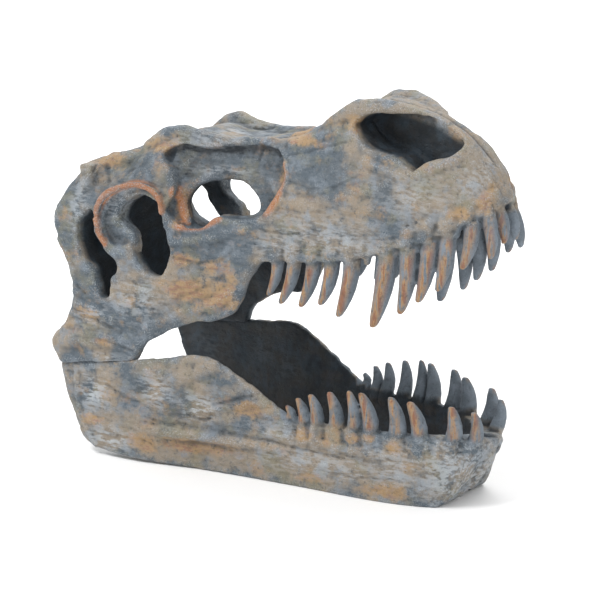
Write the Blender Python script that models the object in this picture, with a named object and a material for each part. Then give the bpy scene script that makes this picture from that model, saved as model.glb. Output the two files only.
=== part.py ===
"""A tyrannosaur skull cast in resin, jaws open, as a shelf ornament.

The skull and the lower jaw are lofted from a few profile curves, carved by cutters for the
mouth, the hollow inside and the windows of the skull, grown with ridges and teeth, fused by a
voxel Remesh, and then parted by thin cuts into the pieces that a person would name.

Lengths are in millimetres until a mesh is made. +X is the snout, -Y the skull's right side,
+Z up, and the lower jaw stands on z = 0. Everything is mirrored about the plane y = 0.
"""

import math

import bmesh
import bpy
from mathutils import Matrix, Vector

MM = 0.001

# Driving dimensions.
SNOUT_TIP = 191.0
REAR_END = -188.0
JAW_TIP = 183.0
WALL = 10.0
ROOF_WALL = 11.0
CUT_GAP = 0.3
VOXEL = 2.3
SMOOTHING_ROUNDS = 3
SKULL_TRIANGLES = 2640
JAW_TRIANGLES = 720
CROWN = 2.0  # how far the roof's middle stands above its edges
SECTION_FLOOR = 66.0  # height of the skull's underside before the mouth is cut
LIP = 2.0  # how far the gum stands out over the teeth's roots
CRUMB_SHARE = 0.05  # of a piece's points; a loose chip has fewer
JOINT_GAP = 0.4
FLOOR_CUT = -1.0  # height of the shelf under the turned profile
REST_TILT = 0.95  # degrees that the modelled profile turns nose up when it stands on its jaw
RECESS_DEPTH = 9.0  # of the hollow around the antorbital window
RECESS_FLOOR = 9.0  # thickness of the ledge left inside that hollow
FAR = 260.0  # beyond the object in any direction

# Profile curves of the skull along X: (x, value) knots joined smoothly.
ROOF_KNOTS = [(-190, 232), (-150, 240), (-122, 244), (-110, 254), (-85, 265), (-50, 261), (-20, 264),
              (11, 271), (40, 283), (62, 296), (84, 302), (115, 298), (150, 284), (172, 266), (184, 249),
              (191, 236)]
ROOF_HALF_KNOTS = [(-190, 60), (-150, 54), (-110, 49), (-75, 44), (-20, 31), (11, 27), (80, 27), (100, 22),
                   (120, 15), (150, 13), (175, 11), (191, 4)]
SIDE_HALF_KNOTS = [(-190, 88), (-150, 88), (-115, 84), (-80, 76), (-45, 65), (0, 59), (50, 56), (97, 52),
                   (131, 47), (150, 41.5), (168, 34.5), (179, 27), (186, 19.5), (191, 10)]
GUM_KNOTS = [(-8, 174), (25, 177), (60, 180.5), (90, 187), (114, 196), (134, 203), (150, 213), (172, 225),
             (184, 236), (200, 240)]
REAR_EDGE_KNOTS = [(60, -175), (74, -178), (91, -187), (109, -172), (136, -163), (157, -166), (175, -176),
                   (196, -184), (212, -179), (230, -170), (243, -162), (260, -150)]  # (z, x)

# Profile curves of the lower jaw along X.
JAW_TOP_KNOTS = [(-180, 74), (-140, 80), (-110, 84.5), (-95, 86.5), (-77, 89.5), (-56, 94), (-42, 92),
                 (-26, 85), (-12, 77), (0, 70), (12, 62.5), (28, 54), (42, 51), (90, 52), (130, 52),
                 (160, 50), (184, 49)]
JAW_HALF_KNOTS = [(-180, 84), (-150, 88), (-110, 86), (-80, 79.5), (-50, 71), (0, 63.5), (48, 58), (93, 54),
                  (117, 50), (137, 44), (158, 34.5), (172, 23), (179, 13), (183, 4)]
JAW_BOTTOM_KNOTS = [(-180, 68), (-175, 50), (-166, 30), (-157, 13), (-140, 6), (-112, 3), (-80, 1.2),
                    (-40, -0.4), (148, -4.5), (154, -2), (161, 8), (169, 23), (177, 38), (183, 44)]
JAW_THICKNESS_KNOTS = [(-180, 10), (-150, 13), (-100, 14), (-40, 13), (20, 13), (60, 15), (110, 17),
                       (140, 22), (160, 34), (184, 50)]

# Windows through the right wall, as outlines seen from the side: (x, z) points joined smoothly.
NARIS = [(73, 286), (78, 279), (88, 271.5), (99, 267.5), (112, 264), (121, 258.5), (127, 255), (131, 260),
         (137, 263.5), (147, 266), (155, 272), (155, 278), (147, 284.5), (136, 289.5), (125, 293.5),
         (113, 295.5), (100, 296), (88, 295.5), (79, 292)]
ANTORBITAL_FOSSA = [(-90, 250), (-78, 258), (-58, 256), (-30, 260), (2, 260), (16, 249), (19, 236),
                    (8, 222), (-14, 209), (-32, 209), (-50, 200), (-66, 198), (-78, 209), (-73, 223),
                    (-76, 237)]
ANTORBITAL_WINDOW = [(-69, 214), (-66, 224), (-58, 235), (-44, 242), (-27, 244), (-9, 240), (3, 231),
                     (9, 220), (4, 212), (-8, 208), (-22, 206), (-38, 206), (-50, 197), (-62, 197)]
ORBIT_CUP = [(-133, 200), (-128, 214), (-114, 221), (-100, 224), (-88, 221), (-80, 212), (-84, 199),
             (-100, 184), (-118, 178), (-130, 184)]
ORBIT_RING = [(-81, 208), (-83, 219), (-91, 226), (-103, 228), (-116, 225), (-129, 218), (-137, 205),
              (-136, 191), (-130, 178)]
ORBIT_KNOB = [(-130, 176), (-121, 172), (-111, 172)]
ORBIT_WINDOW = [(-112, 214), (-99, 220), (-84, 214), (-80, 200), (-76, 183), (-75, 172), (-82, 156),
                (-93, 157), (-104, 171), (-107, 186), (-121, 197), (-121, 207)]
TEMPORAL_WINDOW = [(-147, 204), (-156, 194), (-157, 178), (-151, 163), (-143, 157), (-139, 146),
                   (-135, 134), (-128, 135), (-126, 147), (-120, 158), (-123, 168), (-132, 176),
                   (-139, 186), (-141, 197)]
LEFT_TEMPORAL_WINDOW = [(-149, 205), (-164, 197), (-170, 184), (-166, 171), (-148, 164), (-130, 166),
                        (-132, 176), (-139, 186), (-141, 197)]

# Teeth of the right side: (base x, base half-width y, tip x, tip y, tip z, root radius).
UPPER_TEETH = [
    (14, 54, 8, 57, 148.5, 5.0), (29, 53, 19, 56, 143.5, 5.8),
    (46, 52, 37, 55, 143, 6.2), (62, 51, 54.5, 54, 147, 6.4),
    (79, 49, 70.5, 53, 139.5, 7.0), (108, 47, 100, 50.5, 135, 8.4), (125, 43.5, 122.5, 47.5, 148, 7.6),
    (141, 39, 136, 44, 158, 7.2), (154, 33.5, 151, 41, 168, 6.8), (170, 27, 168.5, 35.5, 186, 6.4),
    (178, 17, 186, 23.5, 194, 6.0), (181.5, 6.4, 189, 9, 203, 5.6),
]
LOWER_TEETH = [
    (28, 54, 25, 57, 62.5, 4.2), (39, 53.5, 35.5, 57, 70.5, 5.2), (50, 53, 47.5, 57, 75.5, 5.8),
    (67, 52, 64.5, 56, 80, 6.2), (82.5, 50, 81, 54, 83, 5.8), (97, 48, 90.5, 52, 82.5, 6.6),
    (118, 44, 115, 48, 82, 7.0), (135, 37.5, 128, 42, 79, 6.8), (158, 26, 158.5, 31.5, 77.5, 6.8),
    (171, 15, 172.5, 21.5, 73, 5.8),
]

# Paint of the parts as linear colours.
SLATE = (0.115, 0.130, 0.145)
TAN = (0.215, 0.185, 0.150)
OCHRE = (0.330, 0.190, 0.095)
BONE_GREY = (0.190, 0.195, 0.195)

# Where the thin cuts run: (name, colour, low corner, high corner).
X_MUZZLE, X_CHEEK, X_REAR, Z_ROOF, Z_NOSE, Z_CHEEK, Y_TEMPLE = 145, -40, -100, 246, 248, 212, 60
SKULL_CELLS = [
    ("premaxilla", TAN, (X_MUZZLE, -FAR, 40), (FAR, FAR, FAR + 80)),
    ("nasal", BONE_GREY, (X_CHEEK, -FAR, Z_NOSE), (X_MUZZLE, FAR, FAR + 80)),
    ("maxilla_right", TAN, (X_CHEEK, -FAR, 40), (X_MUZZLE, 0, Z_NOSE)),
    ("maxilla_left", TAN, (X_CHEEK, 0, 40), (X_MUZZLE, FAR, Z_NOSE)),
    ("brow", BONE_GREY, (X_REAR, -FAR, Z_ROOF), (X_CHEEK, FAR, FAR + 80)),
    ("lacrimal_right", BONE_GREY, (X_REAR, -FAR, Z_CHEEK), (X_CHEEK, 0, Z_ROOF)),
    ("lacrimal_left", BONE_GREY, (X_REAR, 0, Z_CHEEK), (X_CHEEK, FAR, Z_ROOF)),
    ("cheek_right", OCHRE, (X_REAR, -FAR, 40), (X_CHEEK, 0, Z_CHEEK)),
    ("cheek_left", OCHRE, (X_REAR, 0, 40), (X_CHEEK, FAR, Z_CHEEK)),
    ("braincase", SLATE, (-FAR, -Y_TEMPLE, 40), (X_REAR, Y_TEMPLE, FAR + 80)),
    ("temple_right", SLATE, (-FAR, -FAR, 40), (X_REAR, -Y_TEMPLE, FAR + 80)),
    ("temple_left", SLATE, (-FAR, Y_TEMPLE, 40), (X_REAR, FAR, FAR + 80)),
]
X_CHIN, X_RAMUS = 137, -12
JAW_CELLS = [
    ("chin", TAN, (X_CHIN, -FAR, -50), (FAR, FAR, FAR)),
    ("dentary_right", TAN, (X_RAMUS, -FAR, -50), (X_CHIN, 0, FAR)),
    ("dentary_left", TAN, (X_RAMUS, 0, -50), (X_CHIN, FAR, FAR)),
    ("ramus_right", SLATE, (-FAR, -FAR, -50), (X_RAMUS, 0, FAR)),
    ("ramus_left", SLATE, (-FAR, 0, -50), (X_RAMUS, FAR, FAR)),
]


def through(knots):
    """A function of x that runs smoothly through the knots without overshoot, and stays level beyond them."""
    xs = [k[0] for k in knots]
    ys = [k[1] for k in knots]
    slopes = [(ys[i + 1] - ys[i]) / (xs[i + 1] - xs[i]) for i in range(len(xs) - 1)]
    tangents = [slopes[0]]
    for before, after in zip(slopes, slopes[1:]):
        tangents.append(0.0 if before * after <= 0 else 2 * before * after / (before + after))
    tangents.append(slopes[-1])

    def value(x):
        if x <= xs[0]:
            return ys[0]
        if x >= xs[-1]:
            return ys[-1]
        i = max(j for j in range(len(xs) - 1) if xs[j] <= x)
        width = xs[i + 1] - xs[i]
        t = (x - xs[i]) / width
        rise = t * t * (3 - 2 * t)
        return (ys[i] * (1 - rise) + ys[i + 1] * rise
                + width * t * (1 - t) * ((1 - t) * tangents[i] - t * tangents[i + 1]))

    return value


roof_z = through(ROOF_KNOTS)
roof_half = through(ROOF_HALF_KNOTS)
side_half = through(SIDE_HALF_KNOTS)
gum_z = through(GUM_KNOTS)
rear_edge_x = through(REAR_EDGE_KNOTS)
jaw_top_z = through(JAW_TOP_KNOTS)
jaw_half = through(JAW_HALF_KNOTS)
jaw_bottom_z = through(JAW_BOTTOM_KNOTS)
jaw_thickness = through(JAW_THICKNESS_KNOTS)


def smooth_loop(points, steps=5):
    """A closed Catmull-Rom loop through the points."""
    count = len(points)
    made = []
    for i in range(count):
        p0, p1, p2, p3 = (Vector(points[(i + k) % count]) for k in (-1, 0, 1, 2))
        for s in range(steps):
            t = s / steps
            made.append(0.5 * (2 * p1 + (p2 - p0) * t + (2 * p0 - 5 * p1 + 4 * p2 - p3) * t * t
                               + (3 * p1 - p0 - 3 * p2 + p3) * t ** 3))
    return made


def add_object(name, mesh_bm):
    """Puts a bmesh in the scene as an object, with its faces pointing out."""
    bmesh.ops.recalc_face_normals(mesh_bm, faces=mesh_bm.faces)
    if mesh_bm.calc_volume(signed=True) < 0:
        bmesh.ops.reverse_faces(mesh_bm, faces=mesh_bm.faces)
    mesh = bpy.data.meshes.new(name)
    mesh_bm.to_mesh(mesh)
    mesh_bm.free()
    made = bpy.data.objects.new(name, mesh)
    bpy.context.collection.objects.link(made)
    return made


def loft(name, loops):
    """A closed solid through loops of equal length, capped at both ends. Loop points are in millimetres."""
    mesh_bm = bmesh.new()
    rings = [[mesh_bm.verts.new(Vector(p) * MM) for p in loop] for loop in loops]
    for ring, after in zip(rings, rings[1:]):
        for i in range(len(ring)):
            j = (i + 1) % len(ring)
            mesh_bm.faces.new((ring[i], ring[j], after[j], after[i]))
    bmesh.ops.triangulate(mesh_bm, faces=mesh_bm.faces)
    mesh_bm.faces.new(rings[0])
    mesh_bm.faces.new(rings[-1])
    return add_object(name, mesh_bm)


def side_plate(name, outline, y_low, y_high):
    """An (x, z) outline made a solid between two y planes."""
    return loft(name, [[(x, y, z) for x, z in outline] for y in (y_low, y_high)])


def ball(name, centre, radii):
    """An ellipsoid."""
    mesh_bm = bmesh.new()
    bmesh.ops.create_uvsphere(mesh_bm, u_segments=24, v_segments=14, radius=MM)
    bmesh.ops.scale(mesh_bm, vec=radii, verts=mesh_bm.verts)
    bmesh.ops.translate(mesh_bm, vec=Vector(centre) * MM, verts=mesh_bm.verts)
    return add_object(name, mesh_bm)


def tube(name, path, sides=10):
    """A round rod along (x, y, z, radius) points, with rounded ends."""
    points = [Vector(p[:3]) for p in path]
    loops = []
    for i, p in enumerate(points):
        ahead = points[min(i + 1, len(points) - 1)] - points[max(i - 1, 0)]
        turn = ahead.to_track_quat("Z", "Y")
        for share in ((0.5, 0.93, 1.0) if i in (0, len(points) - 1) else (1.0,)):
            radius = path[i][3] * share
            reach = path[i][3] * math.sqrt(1 - share * share) * (-1 if i == 0 else 1)
            ring = [p + turn @ Vector((radius * math.cos(a), radius * math.sin(a), reach))
                    for a in (math.tau * k / sides for k in range(sides))]
            loops.append((i, -share if i else share, ring))
    loops.sort(key=lambda item: (item[0], item[1]))
    return loft(name, [ring for _, _, ring in loops])


def spike(name, path, tip, sides=6):
    """A tapering rod along (x, y, z, radius) points that ends in a small flat at its tip."""
    points = [Vector(p[:3]) for p in path] + [Vector(tip)]
    radii = [p[3] for p in path] + [path[-1][3] * 0.4]
    loops = []
    for i, (p, radius) in enumerate(zip(points, radii)):
        ahead = points[min(i + 1, len(points) - 1)] - points[max(i - 1, 0)]
        turn = ahead.to_track_quat("Z", "Y")
        loops.append([p + turn @ Vector((radius * math.cos(a), radius * math.sin(a), 0))
                      for a in (math.tau * k / sides for k in range(sides))])
    return loft(name, loops)


def tooth(name, base, tip, radius, bow=3.0):
    """A tooth that tapers to a blunt tip and bows forward between its root and its tip."""
    base, tip = Vector(base), Vector(tip)
    path = []
    for t, share in ((-0.15, 1.0), (0.38, 0.9), (0.8, 0.52)):
        bowed = Vector((bow * math.sin(math.pi * max(0.0, t)), 0, 0))
        path.append((*base.lerp(tip, t) + bowed, radius * share))
    return spike(name, path, tip)


def both_sides(make, name, *args, **kwargs):
    """Makes a right-hand piece and its mirror image."""
    right = make(name, *args, **kwargs)
    left = right.copy()
    left.data = right.data.copy()
    left.data.transform(Matrix.Scale(-1, 4, (0, 1, 0)))
    left.data.flip_normals()
    bpy.context.collection.objects.link(left)
    return [right, left]


def join(name, pieces):
    """One object from several closed pieces that overlap."""
    mesh_bm = bmesh.new()
    for piece in pieces:
        mesh_bm.from_mesh(piece.data)
        bpy.data.objects.remove(piece)
    mesh = bpy.data.meshes.new(name)
    mesh_bm.to_mesh(mesh)
    mesh_bm.free()
    made = bpy.data.objects.new(name, mesh)
    bpy.context.collection.objects.link(made)
    return made


def settle(obj):
    """Applies an object's modifiers."""
    graph = bpy.context.evaluated_depsgraph_get()
    mesh = bpy.data.meshes.new_from_object(obj.evaluated_get(graph))
    obj.modifiers.clear()
    obj.data = mesh
    return obj


def fuse(obj, voxel=VOXEL):
    remesh = obj.modifiers.new("Fuse", "REMESH")
    remesh.mode = "VOXEL"
    remesh.voxel_size = voxel * MM
    return settle(obj)


def combine(obj, other, operation, solver="EXACT"):
    boolean = obj.modifiers.new(operation, "BOOLEAN")
    boolean.operation = operation
    boolean.solver = solver
    boolean.object = other
    settle(obj)
    bpy.data.objects.remove(other)
    return obj


def soften(obj, rounds=SMOOTHING_ROUNDS):
    smooth = obj.modifiers.new("Soften", "SMOOTH")
    smooth.factor = 0.5
    smooth.iterations = rounds
    return settle(obj)


def thin_out(obj, triangles):
    """Collapses edges, the same on both sides, until about that many triangles are left."""
    obj.data.calc_loop_triangles()
    decimate = obj.modifiers.new("Thin", "DECIMATE")
    decimate.ratio = triangles / len(obj.data.loop_triangles)
    decimate.use_symmetry = True
    decimate.symmetry_axis = "Y"
    decimate.use_collapse_triangulate = True
    return settle(obj)


def widest_z(x):
    """Height below which the skull's sides are upright."""
    return min(roof_z(x) - 60, 200.0)


def shoulder(share):
    """How far out the shoulder has come, from 0 at the roof's edge to 1 where the side is upright."""
    return math.sqrt(1 - (1 - share) ** 2) ** 1.45


def skull_section(x):
    """A closed (y, z) section of the skull: crowned roof, sloped shoulders and a flat floor."""
    top, edge, side, widest, steps = roof_z(x), roof_half(x), side_half(x), widest_z(x), 10
    half = [(edge * k / 4, top - CROWN * (k / 4) ** 2) for k in range(5)]
    for k in range(1, steps + 1):
        share = 1 - math.cos(math.pi / 2 * k / steps)
        half.append((edge + (side - edge) * shoulder(share), (top - CROWN) + (widest - top + CROWN) * share))
    half.append((side, (widest + SECTION_FLOOR) / 2))
    half.append((side, SECTION_FLOOR))
    return half + [(-y, z) for y, z in reversed(half[1:])]


def skull_body():
    xs = [REAR_END + 8 * i for i in range(42)] + [152, 159, 166, 172, 177, 181, 185, 188, SNOUT_TIP]
    return loft("skull_body", [[(x, y, z) for y, z in skull_section(x)] for x in xs])


def hollow(name, x_from, x_to, wall, ceiling, floor):
    """A cutter with an arched roof inside the skull's walls; wall and ceiling are functions of x."""
    loops = []
    steps = 14
    for i in range(steps + 1):
        x = x_from + (x_to - x_from) * i / steps
        half, rise = side_half(x) - wall(x), ceiling(x) - floor
        arch = []
        for k in range(19):
            a = math.pi * k / 18
            y = half * math.copysign(abs(math.cos(a)) ** 0.62, math.cos(a))
            arch.append((x, y, floor + 20 + (rise - 20) * math.sin(a) ** 0.62))
        loops.append([(x, half + 0.5, floor)] + arch + [(x, -half - 0.5, floor)])
    return loft(name, loops)


def mouth_gap():
    """The space between the jaws, cut right through from side to side."""
    cheek = [(-12, 158), (-18, 140), (-25, 129), (-41, 121.5), (-57, 120), (-74, 113), (-96, 101), (-101, 94),
             (-106, 83.5)]
    line = [(200 - 8 * i, gum_z(200 - 8 * i)) for i in range(26)] + cheek
    line += [(-173, 74), (-220, 68), (-220, 40), (220, 40)]
    return side_plate("mouth_gap", line, -FAR, FAR)


def rear_cut():
    """All that lies behind the skull's rear edge."""
    edge = [(rear_edge_x(z), z) for z in range(56, 262, 6)]
    return side_plate("rear_cut", [(-FAR, 40)] + edge + [(-150, 290), (-FAR, 290)], -FAR, FAR)


def window(name, outline, y_outer, y_inner):
    return both_sides(side_plate, name, [tuple(p) for p in smooth_loop(outline)], -y_outer, -y_inner)


def skull_ridges():
    """Raised bone along the brow, the nose, the temporal bar, the eye and the jaw joint, on both sides."""
    ridges = []
    ridges += both_sides(tube, "brow", [(-112, -46, 251, 8), (-98, -42, 261.5, 8), (-85, -38, 265, 8),
                                        (-67, -36, 261, 7), (-40, -34, 259.5, 6), (-5, -30, 264, 5)])
    ridges += both_sides(tube, "nasal_hump", [(40, -26, 278, 5), (58, -28, 289, 7), (72, -28, 297, 8),
                                              (88, -27, 299, 8), (104, -20, 297, 6.5), (124, -11, 291.5, 5)])
    ridges += both_sides(tube, "temporal_bar", [(-106, -50, 245, 8), (-125, -48, 240, 7),
                                                (-145, -51, 239, 7), (-157, -59, 231, 7),
                                                (-164, -69, 216, 7), (-171, -77, 200, 7)])
    ring = [(x, 2.0 - side_half(x), z, 3.4) for x, z in ORBIT_RING]
    ridges += both_sides(tube, "eye_ring", ring)
    ridges += both_sides(tube, "eye_knob", [(x, 5.0 - side_half(x), z, 6.0) for x, z in ORBIT_KNOB])
    ridges += both_sides(tube, "joint_upper", [(-177, -81, 94, 9), (-150, -82, 98, 10), (-120, -79, 100, 9)])
    ridges += both_sides(tube, "joint_lower", [(-171, -80, 84, 7), (-148, -81, 88, 8), (-120, -78, 92, 7)])
    return ridges


def under_lip(y, wall_y, radius):
    """A tooth's root set in far enough for its crown to come out under the lip of the gum."""
    return min(y, wall_y - LIP - 0.9 * radius)


def upper_teeth():
    teeth = []
    for i, (x, y, tip_x, tip_y, tip_z, radius) in enumerate(UPPER_TEETH):
        base_z = gum_z(x) + 2.0
        y = under_lip(y, side_half(x), radius)
        teeth += both_sides(tooth, f"upper_tooth_{i}", (x, -y, base_z), (tip_x, -tip_y, tip_z), radius)
    return teeth


def wall_y(x, z):
    """Half-width of the skull's outer face at a place on its side, shoulder included."""
    top, widest = roof_z(x) - CROWN, widest_z(x)
    share = min(1.0, max(0.0, (top - z) / (top - widest)))
    return roof_half(x) + (side_half(x) - roof_half(x)) * shoulder(share)


def recess(name, outline, depth_from, depth_to):
    """A slab beside each wall that keeps to the wall's own bend, between two depths below its face."""
    points = [tuple(p) for p in smooth_loop(outline)]
    return both_sides(loft, name, [[(x, depth - wall_y(x, z), z) for x, z in points]
                                   for depth in (depth_from, depth_to)])


def septum():
    """The wall between the nostrils, with a round socket in each face."""
    outline = [(58, 236), (70, 262), (84, 288), (150, 282), (166, 262), (172, 236)]
    wall = side_plate("septum", outline, -5.5, 5.5)
    for socket in both_sides(ball, "socket", (125, -12, 272), (12.5, 9.5, 12.5)):
        combine(wall, socket, "DIFFERENCE")
    return wall


def occiput():
    """The back wall inside the rear edges, with the neck joint's ball below its opening."""
    outline = [(-74, 238), (74, 238), (60, 208), (57, 150), (54, 128), (30, 120), (-30, 120), (-60, 128),
               (-80, 150), (-80, 200)]
    plate = loft("back_wall", [[(x, y, z) for y, z in outline] for x in (-164, -152)])
    condyle = ball("neck_ball", (-168, 0, 158), (12, 11, 10))
    crest = tube("nape_crest", [(-157, -60, 233, 7), (-159, -30, 233, 8), (-160, 0, 233, 8),
                                (-159, 30, 233, 8), (-157, 60, 233, 7)])
    return [plate, condyle, crest]


def nose_wall(x):
    """Thickness of the wall beside the nose's hollow, which follows the narrower roof."""
    return side_half(x) - roof_half(x) - 2


def build_skull():
    skull = skull_body()
    for cutter in [mouth_gap(), rear_cut(),
                   hollow("chamber", -151, 30, lambda x: WALL, lambda x: roof_z(x) - ROOF_WALL, 42),
                   hollow("open_back", -222, -163, lambda x: WALL, lambda x: 236, 41),
                   hollow("palate", 10, 172, lambda x: 15, lambda x: gum_z(x) + 16, 100),
                   hollow("low_back", -221, -140, lambda x: WALL, lambda x: 122, 40),
                   hollow("nose", 66, 166, nose_wall, lambda x: roof_z(x) - 8, 232)]:
        combine(skull, cutter, "DIFFERENCE")
    ledge = recess("ledge", ANTORBITAL_FOSSA, 7.0, RECESS_DEPTH + RECESS_FLOOR)
    skull = join("skull", [skull, septum()] + ledge + occiput() + skull_ridges())
    fuse(skull)
    cutters = window("naris", NARIS, 60, 8)
    cutters += recess("antorbital_fossa", ANTORBITAL_FOSSA, -30.0, RECESS_DEPTH)
    cutters += window("antorbital_window", ANTORBITAL_WINDOW, 90, 30)
    cutters += window("orbit_cup", ORBIT_CUP, 100, 75)
    cutters += window("orbit_window", ORBIT_WINDOW, 100, 40)
    cutters += window("temporal_window", TEMPORAL_WINDOW, 110, 60)
    left = [tuple(p) for p in smooth_loop(LEFT_TEMPORAL_WINDOW)]
    cutters += [side_plate("left_temporal_window", left, 57, 110)]
    cutters += both_sides(ball, "upper_temporal", (-133, -28, 252), (19, 15, 26))
    cutters += [ball("neck_opening", (-166, 0, 178), (8, 9, 9))]
    for cutter in cutters:
        combine(skull, cutter, "DIFFERENCE", solver="MANIFOLD")
    fuse(skull)
    soften(skull)
    thin_out(skull, SKULL_TRIANGLES)
    return combine(skull, join("upper_teeth", upper_teeth()), "UNION", solver="MANIFOLD")


def jaw_section(x, side):
    """The section of one half of the lower jaw: bevelled below, ridged at a third of its height."""
    top, bottom, outer = jaw_top_z(x), jaw_bottom_z(x), jaw_half(x)
    inner = max(-2.0, outer - jaw_thickness(x))
    height = top - bottom
    lip = min(3.0, (outer - inner) / 4)
    tuck = 1.5 + max(0.0, x - 147) * 0.3
    outline = [(inner + 1.5 * lip, top), (outer - lip, top), (outer - 0.3 * lip, top - 0.12 * height),
               (outer, top - 0.45 * height), (outer, bottom + 0.34 * height),
               (outer - 0.5 * tuck, bottom + 0.12 * height), (max(inner + 2, outer - tuck), bottom),
               (inner, bottom), (inner, bottom + 0.4 * height), (inner + lip, top - 0.2 * height)]
    return [(side * y, z) for y, z in outline]


def lower_teeth():
    teeth = []
    for i, (x, y, tip_x, tip_y, tip_z, radius) in enumerate(LOWER_TEETH):
        base_z = jaw_top_z(x) - 2.0
        y = under_lip(y, jaw_half(x), radius)
        teeth += both_sides(tooth, f"lower_tooth_{i}", (x, -y, base_z), (tip_x, -tip_y, tip_z), radius)
    return teeth


def build_jaw():
    xs = [-180, -176, -171, -165, -158, -150, -140, -128] + [-115 + 10 * i for i in range(25)]
    xs += [134, 142, 149, 156, 162, 167, 171, 175, 178, 181, JAW_TIP]
    halves = [loft(f"ramus_{side}", [[(x, y, z) for y, z in jaw_section(x, side)] for x in xs])
              for side in (-1, 1)]
    pieces = halves + both_sides(tube, "jaw_ridge", [(-158, -82, 37, 5), (-120, -83, 32, 5),
                                                     (-80, -78, 30, 5), (-30, -67, 29, 4),
                                                     (20, -60, 27, 3)])
    jaw = fuse(join("jaw", pieces))
    soften(jaw)
    thin_out(jaw, JAW_TRIANGLES)
    return combine(jaw, join("lower_teeth", lower_teeth()), "UNION", solver="MANIFOLD")


def clear_joint(skull, jaw):
    """Trims the skull's feet to the shape of the jaw below them, a thin gap above it."""
    raised = jaw.copy()
    raised.data = jaw.data.copy()
    raised.data.transform(Matrix.Translation((0, 0, JOINT_GAP * MM)))
    bpy.context.collection.objects.link(raised)
    combine(skull, raised, "DIFFERENCE", solver="MANIFOLD")


def box(name, low, high):
    """A box between two corners in millimetres."""
    mesh_bm = bmesh.new()
    bmesh.ops.create_cube(mesh_bm, size=1.0)
    size = [b - a for a, b in zip(low, high)]
    bmesh.ops.scale(mesh_bm, vec=Vector(size) * MM, verts=mesh_bm.verts)
    bmesh.ops.translate(mesh_bm, vec=(Vector(low) + Vector(high)) / 2 * MM, verts=mesh_bm.verts)
    return add_object(name, mesh_bm)


def painted(name, colour):
    """Dull painted resin."""
    material = bpy.data.materials.new(name)
    material.use_nodes = True
    shader = material.node_tree.nodes["Principled BSDF"]
    shader.inputs["Base Color"].default_value = (*colour, 1.0)
    shader.inputs["Roughness"].default_value = 0.8
    shader.inputs["Metallic"].default_value = 0.0
    return material


def drop_crumbs(obj):
    """Deletes the loose chips that a cut leaves along its edge, and keeps the one real body."""
    mesh_bm = bmesh.new()
    mesh_bm.from_mesh(obj.data)
    bodies, seen = [], set()
    for start in mesh_bm.verts:
        if start in seen:
            continue
        seen.add(start)
        body, waiting = [], [start]
        while waiting:
            vert = waiting.pop()
            body.append(vert)
            fresh = [edge.other_vert(vert) for edge in vert.link_edges if edge.other_vert(vert) not in seen]
            seen.update(fresh)
            waiting += fresh
        bodies.append(body)
    for body in bodies:
        if len(body) < CRUMB_SHARE * len(seen):
            bmesh.ops.delete(mesh_bm, geom=body, context="VERTS")
    mesh_bm.to_mesh(obj.data)
    mesh_bm.free()


def part_by_boxes(whole, cells):
    """Parts a body along the faces of boxes, leaving the cutting gap between neighbours.

    Each cell is (name, colour, low corner, high corner).
    """
    half = CUT_GAP / 2
    for name, colour, low, high in cells:
        piece = whole.copy()
        piece.data = whole.data.copy()
        bpy.context.collection.objects.link(piece)
        cell = box("cell", [a + half for a in low], [b - half for b in high])
        combine(piece, cell, "INTERSECT", solver="MANIFOLD")
        drop_crumbs(piece)
        piece.name = name
        piece.data.name = name
        piece.data.materials.clear()
        piece.data.materials.append(painted(name + "_paint", colour))
    bpy.data.objects.remove(whole)


def stand_up(pieces):
    """Turns the pieces to rest level, grinds the jaw's underside flat and centres everything on X."""
    tilt = Matrix.Rotation(math.radians(-REST_TILT), 4, "Y")
    for piece in pieces:
        piece.data.transform(tilt)
    xs = [vertex.co.x for piece in pieces for vertex in piece.data.vertices]
    middle = (min(xs) + max(xs)) / 2
    for piece in pieces:
        piece.data.transform(Matrix.Translation((-middle, 0, -FLOOR_CUT * MM)))
        if min(vertex.co.z for vertex in piece.data.vertices) < 0:
            combine(piece, box("shelf", (-FAR, -FAR, -50), (FAR, FAR, 0)), "DIFFERENCE", solver="MANIFOLD")


def main():
    for old in list(bpy.data.objects):
        bpy.data.objects.remove(old)
    skull, jaw = build_skull(), build_jaw()
    clear_joint(skull, jaw)
    part_by_boxes(skull, SKULL_CELLS)
    part_by_boxes(jaw, JAW_CELLS)
    stand_up(list(bpy.data.objects))


main()
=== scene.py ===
"""A tyrannosaur skull ornament of cast resin, painted slate, bone grey and ochre by hand.

The whole casting is shaped once, finer than the frame's solids: lofted bodies, cut windows, fused
ridges and teeth, then brush strokes that push the surface in and out as a sculptor's tool does. The
skin is then divided where the frame's nodes meet, and each piece stands for one node.

Lengths are millimetres until a mesh is made. +X is the snout, -Y the skull's right side, +Z up.
"""

import math

import bmesh
import bpy
import numpy as np
from mathutils import Matrix, Vector, noise


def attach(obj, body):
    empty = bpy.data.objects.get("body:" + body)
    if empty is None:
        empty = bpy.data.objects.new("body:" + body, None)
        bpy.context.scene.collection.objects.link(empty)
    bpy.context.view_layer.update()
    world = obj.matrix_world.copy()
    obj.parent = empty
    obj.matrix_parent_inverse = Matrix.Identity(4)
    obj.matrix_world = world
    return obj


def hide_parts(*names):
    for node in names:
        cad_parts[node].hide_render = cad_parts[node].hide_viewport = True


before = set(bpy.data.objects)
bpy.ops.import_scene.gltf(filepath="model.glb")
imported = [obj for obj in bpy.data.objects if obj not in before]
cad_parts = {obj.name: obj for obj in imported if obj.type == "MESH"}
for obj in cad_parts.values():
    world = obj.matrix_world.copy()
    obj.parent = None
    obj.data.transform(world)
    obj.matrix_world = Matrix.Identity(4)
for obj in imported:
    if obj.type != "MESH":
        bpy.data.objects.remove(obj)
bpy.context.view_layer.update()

MM = 0.001
PROFILE_TO_FRAME = (-0.228, 0.0, 1.0)  # moves the turned profile to the frame's middle and floor
REST_TILT = 0.95  # degrees that the profile turns nose up when it stands on its jaw

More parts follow.
